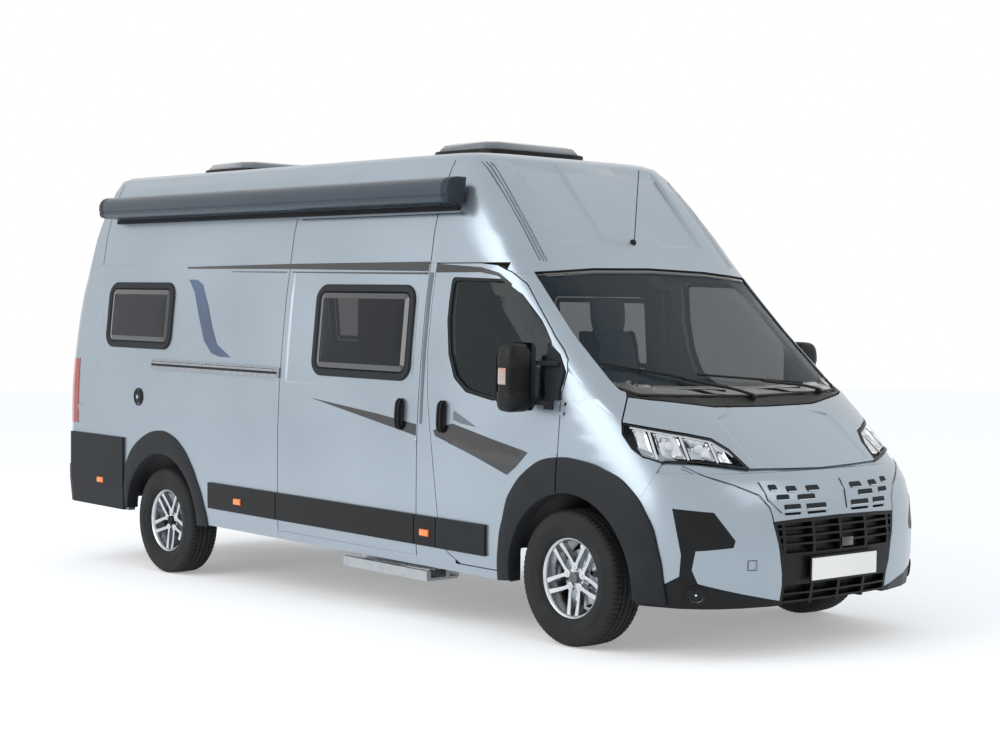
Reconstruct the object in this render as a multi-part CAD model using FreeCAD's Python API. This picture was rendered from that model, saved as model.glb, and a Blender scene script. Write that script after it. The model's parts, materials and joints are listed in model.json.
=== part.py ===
import FreeCAD, Part

import math
import os

from FreeCAD import Vector

os.makedirs("parts", exist_ok=True)

# The van is drawn in its own body frame: X forward from the front axle, Y to the left, Z up from
# the body's datum. It stands nose down, so every piece is turned by the rake at the very end.

# Whole vehicle
wheelbase = 4035.0
front_overhang = 985.0
rear_overhang = 1343.0
half_width = 1028.0
body_top = 2620.0
sill_bottom = 283.0
axle_height = 355.0
rake_angle = 1.42
wall = 55.0
rear_corner_radius = 115.0

# Clearances
shut_gap = 6.0
seat_gap = 0.3
overrun = 40.0

# Wheels and tyres
tyre_radius = 360.0
tyre_width = 225.0
tread_width = 185.0
shoulder_drop = 14.0
rim_radius = 203.0
rim_lip = 10.0
rim_width = 165.0
rim_wall = 9.0
spoke_depth = 42.0
spoke_inset = 26.0
hub_radius = 62.0
hub_bore_radius = 30.0
hub_depth = 70.0
bolt_circle_radius = 65.0
front_wheel_y = 905.0
rear_wheel_y = 895.0

# Panel joints seen from the side
roof_joint = 2006.0
b_pillar_rear = -1245.0
sliding_door_rear = -2637.0
sliding_door_bottom = 335.0
front_arch_x = 20.0
front_arch_z = 340.0
front_arch_radius = 470.0
rear_arch_radius = 465.0

# Rear end
rear_door_bottom = 560.0
rear_door_top = 2300.0
rear_door_half = 880.0

rear_axle_x = -wheelbase * math.cos(math.radians(rake_angle))
rear_axle_z = axle_height - wheelbase * math.sin(math.radians(rake_angle))

# Plan outline of the skin at each level, as shares: height of the body top, nose of the front
# overhang, half width, start of the nose curve of the front overhang, roundness, tail of the
# rear overhang.
section_shares = [
    (0.108, 0.976, 0.986, 0.305, 2.80, 0.985),
    (0.172, 1.000, 0.996, 0.305, 2.80, 0.998),
    (0.229, 1.000, 0.998, 0.305, 2.80, 1.000),
    (0.286, 0.980, 0.999, 0.284, 2.80, 1.000),
    (0.324, 0.954, 1.000, 0.223, 2.80, 1.000),
    (0.355, 0.893, 1.000, 0.152, 2.85, 1.000),
    (0.382, 0.802, 1.000, 0.102, 3.00, 1.000),
    (0.420, 0.675, 0.998, 0.000, 3.20, 1.000),
    (0.458, 0.543, 0.994, -0.102, 3.50, 0.998),
    (0.496, 0.401, 0.989, -0.254, 4.00, 0.994),
    (0.519, 0.305, 0.985, -0.355, 4.10, 0.992),
    (0.573, 0.137, 0.975, -0.558, 4.30, 0.983),
    (0.630, -0.041, 0.962, -0.761, 4.60, 0.972),
    (0.687, -0.218, 0.948, -0.914, 5.10, 0.953),
    (0.748, -0.406, 0.925, -1.015, 5.80, 0.927),
    (0.782, -0.492, 0.914, -1.117, 6.00, 0.912),
    (0.840, -0.624, 0.893, -1.269, 6.20, 0.890),
    (0.916, -0.807, 0.842, -1.421, 6.40, 0.860),
    (0.973, -0.944, 0.780, -1.523, 6.60, 0.838),
    (1.000, -1.036, 0.744, -1.574, 6.80, 0.815),
    (1.0095, -1.110, 0.700, -1.620, 6.80, 0.780),
    (1.0135, -1.300, 0.580, -1.750, 6.80, 0.680),
]

# Directions round the nose at which the outline is drawn, in degrees
nose_angles = [0, 14, 26, 36, 43, 48, 56, 70, 90]
corner_steps = 4

# Round forms are drawn with flat facets
facet_angle = math.radians(22.0)
corner_limit_share = 0.48
bar_sides = 16
arch_sides = 40
wheel_sides = 40


def section(z, inset):
    """Nose, half width, curve start, roundness and tail of the skin at height z."""
    rows = section_shares
    share = min(max(z / body_top, rows[0][0]), rows[-1][0])
    for low, high in zip(rows, rows[1:]):
        if share <= high[0]:
            break
    t = (share - low[0]) / (high[0] - low[0])
    nose, width, start, power, tail = [a + (b - a) * t for a, b in zip(low[1:], high[1:])]
    return (
        nose * front_overhang - inset,
        width * half_width - inset,
        start * front_overhang,
        power,
        -wheelbase - tail * rear_overhang + inset,
    )


def skin_y(z):
    """Half width of the skin at height z."""
    return section(z, 0)[1]


def outline(z, inset):
    """Closed plan outline of the skin at height z, moved in by inset."""
    nose, width, start, power, tail = section(z, inset)
    right, rear = [], []
    for angle in reversed(nose_angles):
        c = math.cos(math.radians(angle))
        s = math.sin(math.radians(angle))
        r = (abs(c) ** power + abs(s) ** power) ** (-1 / power)
        right.append(Vector(start + (nose - start) * c * r, -width * s * r, z))
    left = [Vector(p.x, -p.y, p.z) for p in reversed(right[:-1])]
    radius = rear_corner_radius - inset / 2
    for i in range(corner_steps + 1):
        a = math.radians(90 * i / corner_steps)
        rear.append(
            Vector(tail + radius - radius * math.sin(a), width - radius + radius * math.cos(a), z)
        )
    rear += [Vector(p.x, -p.y, p.z) for p in reversed(rear)]
    return right + left + rear


def closed(points):
    return Part.makePolygon(points + points[:1])


def skin_solid(heights, inset):
    """The space inside the skin between the first and last of the heights."""
    return Part.makeLoft([closed(outline(z, inset)) for z in heights], True, True)


def rounded(points, radius):
    """Closed wire through the points with each corner rounded as far as its sides allow."""
    ring = []
    count = len(points)
    for i, p in enumerate(points):
        a, b = points[i - 1] - p, points[(i + 1) % count] - p
        angle = a.getAngle(b)
        limit = corner_limit_share * min(a.Length, b.Length)
        trim = min(radius / math.tan(angle / 2), limit)
        a.normalize()
        b.normalize()
        bisector = a + b
        bisector.normalize()
        centre = p + bisector * (trim / math.cos(angle / 2))
        first, last = p + a * trim - centre, p + b * trim - centre
        sweep = math.pi - angle
        steps = max(1, round(sweep / facet_angle))
        for step in range(steps + 1):
            turn = sweep * step / steps
            ring.append(centre + (first * math.sin(sweep - turn) + last * math.sin(turn))
                        * (1 / math.sin(sweep)))
    return closed(ring)


def prism(wire, direction):
    return Part.Face(wire).extrude(direction)


def side_cut(points, y_low, y_high, radius=0):
    """Prism along Y over an outline of (x, z) points."""
    corners = [Vector(x, y_low, z) for x, z in points]
    wire = rounded(corners, radius) if radius else closed(corners)
    return prism(wire, Vector(0, y_high - y_low, 0))


def front_cut(points, x_low, x_high, radius=0):
    """Prism along X over an outline of (y, z) points."""
    corners = [Vector(x_low, y, z) for y, z in points]
    wire = rounded(corners, radius) if radius else closed(corners)
    return prism(wire, Vector(x_high - x_low, 0, 0))


def block(x_low, x_high, y_low, y_high, z_low, z_high):
    return Part.makeBox(
        x_high - x_low, y_high - y_low, z_high - z_low, Vector(x_low, y_low, z_low)
    )


def tube_y(x, y_low, y_high, z, radius, sides=bar_sides):
    """Round bar along Y, with its corners on the radius."""
    turns = [2 * math.pi * i / sides for i in range(sides)]
    ring = [Vector(x + radius * math.cos(a), y_low, z + radius * math.sin(a)) for a in turns]
    return prism(closed(ring), Vector(0, y_high - y_low, 0))


def tube_z(x, y, z_low, z_high, radius, sides=bar_sides):
    """Upright round bar, with its corners on the radius."""
    turns = [2 * math.pi * i / sides for i in range(sides)]
    ring = [Vector(x + radius * math.cos(a), y + radius * math.sin(a), z_low) for a in turns]
    return prism(closed(ring), Vector(0, 0, z_high - z_low))


def pin_y(x, y_low, y_high, z, radius):
    """True cylinder along Y, for an axle or a bore."""
    return Part.makeCylinder(radius, y_high - y_low, Vector(x, y_low, z), Vector(0, 1, 0))


def pin_z(x, y, z_low, z_high, radius):
    """Upright true cylinder, for a pin or a bore."""
    return Part.makeCylinder(radius, z_high - z_low, Vector(x, y, z_low))


def mirrored(shape):
    return shape.mirror(Vector(0, 0, 0), Vector(0, 1, 0))


def both(shape):
    """A left piece and its mirror image on the right."""
    return [shape, mirrored(shape)]


pieces = {}


def keep(name, solids):
    """Store a piece as one shape, or as a group of solids that don't touch."""
    if not isinstance(solids, list):
        solids = [solids]
    loose = []
    for solid in solids:
        loose += solid.Solids
    pieces[name] = Part.makeCompound(loose)


def corner_cut(points, side, depth_low, depth_high):
    """Prism across a front corner; side is 1 for left, and points are (distance along the
    corner's face from rear to centre, height)."""
    turn = math.sqrt(0.5)
    corners = [
        Vector((s + depth_low) * turn, side * (depth_low - s) * turn, z) for s, z in points
    ]
    reach = (depth_high - depth_low) * turn
    return prism(closed(corners), Vector(reach, side * reach, 0))


def fused(shapes):
    return shapes[0].multiFuse(shapes[1:]) if len(shapes) > 1 else shapes[0]


def moved(points, margin):
    """The closed outline of points moved outwards by margin."""
    wire = closed([Vector(a, b, 0) for a, b in points])
    ring = wire.makeOffset2D(margin, 2)
    return [(v.X, v.Y) for v in ring.OrderedVertexes]


# Body shell, cut into panels along their real joints

far = 2 * half_width
front_end = front_overhang + overrun
rear_end = -wheelbase - rear_overhang - overrun
roof_peak = section_shares[-1][0] * body_top
roof_wall = 30.0
header_bottom = 1945.0
header_rear = -600.0

shell_levels = [sill_bottom] + [row[0] * body_top for row in section_shares[1:]]
inner_levels = [sill_bottom - overrun] + shell_levels[1:-2:2] + [roof_peak - roof_wall]
outer = skin_solid(shell_levels, 0)
shell = outer.cut(skin_solid(inner_levels, wall))


def slab(z_low, z_high, x_low=rear_end, x_high=front_end, y_low=-far, y_high=far):
    return block(x_low, x_high, y_low, y_high, z_low, z_high)


def skin_layer(z_low, z_high, depth_low, depth_high):
    """The layer between two depths under the skin; a negative depth stands proud."""
    between = [z for z in shell_levels if z_low + seat_gap < z < z_high - seat_gap]
    levels = [z_low] + between + [z_high]
    inner_ends = [z_low - overrun] + levels + [z_high + overrun]
    solid = Part.makeLoft([closed(outline(z, depth_low)) for z in levels], True, True)
    core = Part.makeLoft([closed(outline(z, depth_high)) for z in inner_ends], True, True)
    return solid.cut(core)


# Front doors

door_front = -65.0
door_length = 1125.0
door_bottom = 335.0
door_height = 1665.0
door_outline_shares = [
    (0.320, 0.000), (0.022, 0.000), (0.022, 0.300), (0.008, 0.392), (0.001, 0.535),
    (0.000, 0.659), (0.016, 0.694), (0.057, 0.725), (0.123, 0.765), (0.249, 0.854),
    (0.355, 0.931), (0.450, 0.970), (0.542, 0.993), (0.666, 1.000), (0.997, 1.000),
    (1.000, 0.709), (0.973, 0.533), (0.932, 0.390), (0.879, 0.161), (0.851, 0.067),
    (0.796, 0.030), (0.699, 0.000),
]
door_glass_shares = [
    (0.864, 0.955), (0.493, 0.949), (0.352, 0.899), (0.213, 0.817), (0.120, 0.748),
    (0.107, 0.563), (0.486, 0.551), (0.684, 0.572), (0.781, 0.616), (0.836, 0.694),
    (0.867, 0.808),
]
glass_thickness = 6.0
glass_depth = 14.0
door_glass_radius = 30.0


def door_points(shares):
    return [(door_front - x * door_length, door_bottom + z * door_height) for x, z in shares]


door_outline = door_points(door_outline_shares)
door_glass_outline = door_points(door_glass_shares)
door_edge = moved(door_outline, shut_gap)
door_hole = side_cut(door_edge, -far, far)
front_arch = tube_y(front_arch_x, -far, far, front_arch_z, front_arch_radius, arch_sides)
rear_arch = tube_y(rear_axle_x, -far, far, rear_axle_z, rear_arch_radius, arch_sides)

nose = shell.common(slab(0, roof_joint - seat_gap, b_pillar_rear))
box = shell.common(slab(0, roof_joint - seat_gap, rear_end, b_pillar_rear - seat_gap))


def glass_sheet(shape_cut, z_low, z_high):
    """A glass that follows the skin inside an opening cut."""
    layer = skin_layer(z_low, z_high, glass_depth, glass_depth + glass_thickness)
    return layer.common(shape_cut)


door_hinge_heights = (900.0, 1238.0)
hinge_pin = 5.0
hinge_barrel = 10.0
hinge_play = 0.3
hinge_height = 34.0
hinge_room = 5.0
door_hinge_x = -68.0
door_hinge_y = half_width + 5.0


def hinge(x, y, z, in_x, in_y, out_x, out_y):
    """A pin between two lugs, and the barrel that turns on it. in_ and out_ give where the
    lugs and the barrel's arm run to."""
    lug = hinge_height / 2
    pin = pin_z(x, y, z - hinge_height, z + hinge_height, hinge_pin)
    fixed = [pin]
    for low in (z - hinge_height, z + lug + hinge_play):
        high = low + lug - hinge_play
        fixed.append(tube_z(x, y, low, high, hinge_barrel))
        fixed.append(arm(x, y, in_x, in_y, low, high))
    barrel = tube_z(x, y, z - lug, z + lug, hinge_barrel)
    turning = barrel.fuse(arm(x, y, out_x, out_y, z - lug, z + lug))
    bore = pin_z(x, y, z - 2 * lug, z + 2 * lug, hinge_pin + hinge_play)
    return fused(fixed), turning.cut(bore)


def arm(x, y, to_x, to_y, z_low, z_high):
    """A flat arm from a hinge axis to a point."""
    along = Vector(to_x - x, to_y - y, 0)
    across = Vector(-along.y, along.x, 0)
    across.normalize()
    across = across * (hinge_barrel * 0.8)
    a = Vector(x, y, z_low)
    b = a + along
    return prism(closed([a - across, b - across, b + across, a + across]),
                 Vector(0, 0, z_high - z_low))


def make_front_door():
    """Left front door panel, its glass, and the hinge lugs that the body keeps."""
    panel = nose.common(side_cut(door_outline, 0, far)).cut(front_arch)
    panel = panel.cut(side_cut(door_glass_outline, 0, far, door_glass_radius))
    pane = moved(door_glass_outline, -seat_gap)
    z_low = door_bottom + min(z for _, z in door_glass_shares) * door_height - overrun
    z_high = roof_joint
    glass = glass_sheet(side_cut(pane, 0, far, door_glass_radius), z_low, z_high)
    lugs = []
    lug_room = [block(door_hinge_x - hinge_barrel - hinge_room, front_end, 0, far,
                      z - hinge_height - hinge_room, z + hinge_height + hinge_room)
                for z in door_hinge_heights]
    panel = panel.cut(fused(lug_room))
    for z in door_hinge_heights:
        root_x, door_x = door_hinge_x + 5 * hinge_barrel, door_hinge_x - 4 * hinge_barrel
        skin = skin_y(z) - wall / 3
        fixed, turning = hinge(door_hinge_x, door_hinge_y, z, root_x, skin, door_x, skin)
        lugs.append(fixed)
        panel = panel.fuse(turning)
    return panel, glass, lugs


door, door_glass, door_lugs = make_front_door()
for side, shape in zip(("left", "right"), both(door)):
    keep("front_door_" + side, shape)
for side, shape in zip(("left", "right"), both(door_glass)):
    keep("door_glass_" + side, shape)


# Windscreen, cab pillars, roof and B-pillars

windscreen_width = 1736.0
windscreen_bottom = 1297.0
windscreen_height = 698.0
windscreen_shares = [
    (0.000, 1.000), (0.518, 0.986), (0.980, 0.944), (1.005, 0.420), (1.000, 0.148),
    (0.993, 0.068), (0.922, 0.022), (0.460, 0.009), (0.000, 0.000),
]
bonnet_rear_shares = [
    (0.000, -0.066), (0.460, -0.059), (0.714, -0.022), (0.910, 0.003), (0.992, 0.018),
    (1.200, 0.060),
]
pillar_foot_x = 64.0
pillar_foot_z = 1281.0
pillar_foot_rise = 110.0
sill_front = -420.0
cab_sill_top = door_bottom - shut_gap


def windscreen_points(shares):
    half = windscreen_width / 2
    right = [(-y * half, windscreen_bottom + z * windscreen_height) for y, z in shares]
    return right + [(-y, z) for y, z in reversed(right) if y < 0]


windscreen_outline = windscreen_points(windscreen_shares)
windscreen_hole = front_cut(windscreen_outline, header_rear, front_end)
windscreen_pane = front_cut(moved(windscreen_outline, -seat_gap), header_rear, front_end)
windscreen = glass_sheet(windscreen_pane, windscreen_bottom - overrun, roof_joint)
keep("windscreen", windscreen)

foot_line = [
    (header_rear, pillar_foot_z), (pillar_foot_x, pillar_foot_z),
    (pillar_foot_x + pillar_foot_rise, pillar_foot_z + pillar_foot_rise),
    (front_end, pillar_foot_z + pillar_foot_rise),
]
above_foot = side_cut(foot_line + [(front_end, roof_joint), (header_rear, roof_joint)], -far, far)
pillars = nose.common(slab(0, header_bottom, header_rear)).common(above_foot)
pillars = pillars.cut(door_hole).cut(windscreen_hole)
keep("cab_pillars", [s for s in pillars.Solids if s.CenterOfMass.x > header_rear / 2
                     or s.Volume > wall ** 3])


def make_rear_door_cut(margin):
    """Prism over one rear door's outline, grown by margin."""
    half = rear_door_half
    height = rear_door_top - rear_door_bottom
    right = [(y * half, rear_door_bottom + z * height) for y, z in rear_door_shares]
    return front_cut(moved(right, margin), rear_end, -wheelbase - rear_overhang * rear_reach)


rear_door_shares = [
    (0.005, 0.000), (1.000, 0.000), (1.000, 0.540), (0.966, 0.805), (0.905, 0.943),
    (0.870, 1.000), (0.005, 1.000),
]
rear_reach = 0.72
rear_window_low = 1350.0
rear_window_high = 1850.0
rear_window_inner = 170.0
rear_window_outer = 750.0
rear_window_radius = 60.0

rear_hole = fused(both(make_rear_door_cut(shut_gap / 2)))
roof_space = slab(roof_joint, roof_peak + overrun).fuse(
    slab(header_bottom + seat_gap, roof_joint, header_rear))
roof = shell.common(roof_space).cut(rear_hole).cut(windscreen_hole).cut(door_hole)
keep("roof_panel", roof)

rear_slab = shell.common(slab(0, roof_peak, rear_end, -wheelbase - rear_overhang * rear_reach, 0))
rear_door = rear_slab.common(make_rear_door_cut(-shut_gap / 2))
rear_glass_hole = front_cut(
    [(rear_window_inner, rear_window_low), (rear_window_outer, rear_window_low),
     (rear_window_outer, rear_window_high), (rear_window_inner, rear_window_high)],
    rear_end, -wheelbase, rear_window_radius)
rear_pane_hole = front_cut(
    [(rear_window_inner + seat_gap, rear_window_low + seat_gap),
     (rear_window_outer - seat_gap, rear_window_low + seat_gap),
     (rear_window_outer - seat_gap, rear_window_high - seat_gap),
     (rear_window_inner + seat_gap, rear_window_high - seat_gap)],
    rear_end, -wheelbase, rear_window_radius - seat_gap)
rear_glass = glass_sheet(rear_pane_hole, rear_window_low - overrun, rear_window_high + overrun)
rear_door = rear_door.cut(rear_glass_hole)

rear_hinge_heights = (700.0, 1100.0, 1500.0)
rear_hinge_stand = 14.0
rear_hinge_side = 8.0
rear_lug_reach = 40.0
rear_arm_reach = 50.0
rear_hinge_x = -wheelbase - rear_overhang - rear_hinge_stand
rear_hinge_y = rear_door_half + rear_hinge_side
rear_lugs = []
for z in rear_hinge_heights:
    tail_x = section(z, wall / 3)[4]
    fixed, turning = hinge(rear_hinge_x, rear_hinge_y, z, tail_x, rear_hinge_y + rear_lug_reach,
                           tail_x, rear_hinge_y - rear_arm_reach)
    rear_lugs.append(fixed)
    rear_door = rear_door.fuse(turning)
for side, shape in zip(("left", "right"), both(rear_door)):
    keep("rear_door_" + side, shape)
for side, shape in zip(("left", "right"), both(rear_glass)):
    keep("rear_glass_" + side, shape)


# Side walls, sliding door and sills

# Each window is given by its rear and front ends and by its lowest and highest levels
mid_window = (-2290.0, -1370.0, 1348.0, 1856.0)
rear_window = (-4830.0, -4000.0, 1450.0, 1862.0)
window_radius = 72.0
pillar_front = -900.0
header_pillar_front = -1100.0


def window_cut(window, margin):
    """Prism through the left side over a window's rounded outline."""
    x_low, x_high, z_low, z_high = window
    x_low, x_high = x_low - margin, x_high + margin
    z_low, z_high = z_low - margin, z_high + margin
    points = [(x_low, z_low), (x_high, z_low), (x_high, z_high), (x_low, z_high)]
    return side_cut(points, 0, far, window_radius + margin)


left_box = box.common(slab(0, roof_joint, rear_end, b_pillar_rear, 0, far))
left_box = left_box.cut(rear_hole).cut(rear_arch)
left_box = left_box.cut(slab(0, roof_joint, rear_end, -wheelbase - rear_overhang * rear_reach,
                             -far, rear_door_half + shut_gap))
wall_rear = left_box.cut(window_cut(rear_window, 0))
wall_left = wall_rear.cut(window_cut(mid_window, 0))
keep("side_wall_left", wall_left)
keep("side_wall_right", mirrored(wall_rear.common(slab(0, roof_joint, rear_end,
                                                       sliding_door_rear - shut_gap))))
slider = left_box.common(slab(sliding_door_bottom, roof_joint - shut_gap, sliding_door_rear,
                              b_pillar_rear - shut_gap))
keep("sliding_door", mirrored(slider.cut(window_cut(mid_window, 0))))
sliding_sill = left_box.common(slab(0, sliding_door_bottom - seat_gap,
                                    sliding_door_rear - shut_gap + seat_gap, b_pillar_rear))

rear_pane = glass_sheet(window_cut(rear_window, -seat_gap), rear_window[2] - overrun,
                        rear_window[3] + overrun)
mid_pane = glass_sheet(window_cut(mid_window, -seat_gap), mid_window[2] - overrun,
                       mid_window[3] + overrun)
keep("side_windows", both(rear_pane) + both(mid_pane))

b_pillar = nose.common(slab(0, roof_joint, b_pillar_rear, header_rear, 0))
b_pillar = b_pillar.cut(slab(cab_sill_top, header_bottom, pillar_front)).cut(door_hole)
b_pillar = b_pillar.cut(slab(header_bottom, roof_joint, header_pillar_front))
sill = nose.common(slab(0, cab_sill_top, header_rear - seat_gap, sill_front, 0)).cut(front_arch)
frame = fused([b_pillar, sill])
keep("door_frame_left", frame)
keep("door_frame_right", [mirrored(frame), mirrored(sliding_sill)])


# Front end: bonnet, wings, headlamps and bumper. Corner outlines are drawn across each front
# corner, from the side towards the middle, as shares of the corner's span and of the body top.

corner_span = 1000.0
thin_wall = 40.0
bonnet_side_shares = [(-0.430, 0.530), (-0.415, 0.500), (-0.440, 0.456)]
lamp_top_shares = [
    (-0.440, 0.4535), (-0.299, 0.4455), (-0.115, 0.4345), (0.010, 0.4250), (0.102, 0.4050),
    (0.203, 0.3700),
]
lamp_bottom_shares = [
    (0.190, 0.3690), (-0.056, 0.3800), (-0.243, 0.3800), (-0.340, 0.3895), (-0.395, 0.4040),
    (-0.445, 0.4305),
]
bumper_seam_shares = [(-0.291, 0.3490), (-0.335, 0.3195), (-0.497, 0.2740)]
black_patch_shares = [
    (-0.188, 0.2975), (0.018, 0.2915), (0.128, 0.2385), (0.118, 0.2255), (-0.070, 0.2190),
    (-0.087, 0.1830), (-0.056, 0.1570), (0.394, 0.1150), (0.394, 0.0900), (-0.500, 0.0900),
    (-0.368, 0.1480), (-0.218, 0.1540), (-0.148, 0.1700), (-0.141, 0.2110),
]
bonnet_front = 953.0
lamp_depth = 70.0
fascia_top = 1440.0


def corner_points(shares):
    return [(s * corner_span, z * body_top) for s, z in shares]


def corner_prism(points):
    """Prism across the left front corner, up to the middle of the van."""
    whole = corner_cut(points, 1, 0.1 * corner_span, 1.5 * corner_span)
    return whole.common(slab(0, roof_joint, header_rear, front_end, 0))


thin_skin = skin_layer(sill_bottom, fascia_top, 0, thin_wall).common(
    slab(0, fascia_top, header_rear, front_end))
middle = 0.75 * corner_span
bonnet_rear = sorted(windscreen_points(bonnet_rear_shares))
below_cowl = front_cut(bonnet_rear + [(far, 0), (-far, 0)], 0, front_end)

# Bonnet
bonnet_space = corner_points(bonnet_side_shares + lamp_top_shares)
bonnet_space += [(middle, bonnet_front), (middle, fascia_top)]
bonnet_left = corner_prism(bonnet_space)
bonnet_half = thin_skin.common(bonnet_left).common(below_cowl)
firewall_x = 100.0
firewall_thickness = 30.0
dash_top = 1215.0
bonnet_hinge_x = 215.0
bonnet_hinge_y = 800.0
bonnet_hinge_z = 1300.0
bonnet_arm = 16.0
bonnet_arm_foot = 39.0
bonnet_arm_reach = 188.0
bonnet_arm_drop = 108.0
swing_margin = 2.0
swing_sides = 24
swing_stations = (0.000, 0.195, 0.390, 0.490, 0.585, 0.680, 0.740, 0.800, 0.835)
swing_end = (0.930, 30.0)


def seam_height(y):
    """Height of the bonnet's rear edge at a distance y from the middle."""
    for (y_low, z_low), (y_high, z_high) in zip(bonnet_rear, bonnet_rear[1:]):
        if y_low <= y <= y_high:
            return z_low + (z_high - z_low) * (y - y_low) / (y_high - y_low)


def swing_room():
    """The space round the left half of the hinge line that holds the cowl. The bonnet keeps out
    of it, so that its rear edge swings clear."""
    stations = []
    for share in swing_stations:
        y = share * half_width
        z = seam_height(y)
        nose, width, start, power, _ = section(z, 0)
        x = start + (nose - start) * (1 - (y / width) ** power) ** (1 / power)
        radius = math.hypot(x - bonnet_hinge_x, z - bonnet_hinge_z) - swing_margin
        stations.append((y, radius))
    stations = [(-bonnet_arm, stations[0][1])] + stations
    stations.append((swing_end[0] * half_width, swing_end[1]))
    turns = [2 * math.pi * i / swing_sides for i in range(swing_sides)]
    rings = [closed([Vector(bonnet_hinge_x + radius * math.cos(a), y,
                            bonnet_hinge_z + radius * math.sin(a)) for a in turns])
             for y, radius in stations]
    return Part.makeLoft(rings, True, True)


def bonnet_lugs():
    """Left bonnet hinge: the fixed pin with its bracket, and the bonnet's own eye and arm. The
    arm drops below the cowl first, so that it swings up clear of it."""
    x, y, z = bonnet_hinge_x, bonnet_hinge_y, bonnet_hinge_z
    pin = pin_y(x, y - bonnet_arm, y + bonnet_arm, z, hinge_pin)
    foot = dash_top + seat_gap
    bracket = side_cut(
        [(firewall_x, foot), (firewall_x + firewall_thickness, foot),
         (x + hinge_pin, z - 2 * hinge_pin), (x + hinge_pin, z + hinge_pin),
         (x - hinge_pin, z + hinge_pin)],
        y + bonnet_arm / 2 + hinge_play, y + bonnet_arm)
    eye = tube_y(x, y - bonnet_arm / 2, y + bonnet_arm / 2, z, hinge_barrel)
    half = bonnet_arm / 2
    low = z - bonnet_arm_drop
    reach = side_cut([(x - half, z), (x + bonnet_arm_foot - half, low - half),
                      (x + bonnet_arm_reach, low - half), (x + bonnet_arm_reach, low + half),
                      (x + bonnet_arm_foot + half, low + half), (x + half, z)],
                     y - half, y + half)
    turning = eye.fuse(reach).cut(pin_y(x, y - bonnet_arm, y + bonnet_arm, z,
                                        hinge_pin + hinge_play))
    return pin.fuse(bracket), turning


bonnet_pin, bonnet_eye = bonnet_lugs()
bonnet_half = bonnet_half.cut(swing_room())
bonnet = fused(both(bonnet_half.fuse(bonnet_eye)))
keep("bonnet", bonnet)

# Wings
wing_edge = [(s - shut_gap * 1.4, z) for s, z in corner_points(bonnet_side_shares)]
lamp_edge = reversed(corner_points(lamp_bottom_shares[2:]))
wing_edge += [(s - seat_gap, z - seat_gap) for s, z in lamp_edge]
wing_edge += [(s - seat_gap, z) for s, z in corner_points(bumper_seam_shares)]
wing_space = wing_edge + [(-1.4 * corner_span, bumper_seam_shares[-1][1] * body_top),
                          (-1.4 * corner_span, fascia_top)]
wing_prism = corner_prism(wing_space)
under_glass = front_cut(moved(windscreen_outline, seat_gap), header_rear, front_end)
wing = thin_skin.common(wing_prism).cut(above_foot).cut(door_hole).cut(under_glass)
wing = wing.cut(front_arch)
wing = wing.common(slab(0, fascia_top, door_front - 2 * wall))
wing = max(wing.Solids, key=lambda solid: solid.Volume)
barrel_room = [block(door_hinge_x - wall, door_hinge_x + hinge_barrel + hinge_room, 0, far,
                     z - hinge_height / 2 - seat_gap, z + hinge_height / 2 + seat_gap)
               for z in door_hinge_heights]
wing = fused([wing.cut(fused(barrel_room))] + door_lugs).removeSplitter()
keep("front_wings", both(wing))

# Cowl between the windscreen and the bonnet
above_bonnet = front_cut([(y, z + shut_gap) for y, z in bonnet_rear]
                         + [(far, roof_joint), (-far, roof_joint)], 0, front_end)
cowl = nose.common(slab(0, header_bottom, 0)).common(above_bonnet)
beside_cowl = corner_prism(moved(wing_space, seat_gap))
cowl = cowl.cut(under_glass).cut(above_foot).cut(fused(both(beside_cowl)))
cowl = [s for s in cowl.Solids if abs(s.CenterOfMass.y) < bonnet_hinge_y / 2]
keep("cowl", fused(cowl + both(bonnet_pin)))

# Headlamps
lamp_space = corner_points(lamp_top_shares + lamp_bottom_shares)
lamp_layer = skin_layer(bonnet_front - overrun, fascia_top, seat_gap, lamp_depth)
lamp_prism = corner_prism([(s, z - shut_gap) if i < len(lamp_top_shares) else (s, z)
                           for i, (s, z) in enumerate(lamp_space)])
headlamp = lamp_layer.common(lamp_prism)
keep("headlamps", both(headlamp))


# Bumper, grille and lower black corners
grille_half = 488.0
grille_low = 285.0
grille_height = 430.0
grille_shares = [
    (0.000, 1.020), (0.600, 1.010), (1.000, 0.990), (0.930, 0.640), (0.870, 0.235),
    (0.880, -0.200), (0.000, -0.200),
]
slot_shares = [
    (0.865, 0.980, 0.334, 0.006), (0.605, 0.755, 0.333, 0.006), (0.262, 0.463, 0.333, 0.006),
    (0.742, 0.920, 0.316, 0.011), (0.360, 0.630, 0.316, 0.011), (0.600, 0.840, 0.296, 0.014),
    (0.207, 0.522, 0.296, 0.014),
]
slot_slant = 8.0
bar_thickness = 10.0
bar_pitch = 40.0
upright_count = 5
upright_spread = 0.86
bar_top_share = 1.1


def mirrored_outline(half):
    return half + [(-y, z) for y, z in reversed(half) if y > 0]


def grille_points(margin):
    half = [(y * grille_half, grille_low + z * grille_height) for y, z in grille_shares]
    return moved(mirrored_outline(half), margin)


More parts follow.
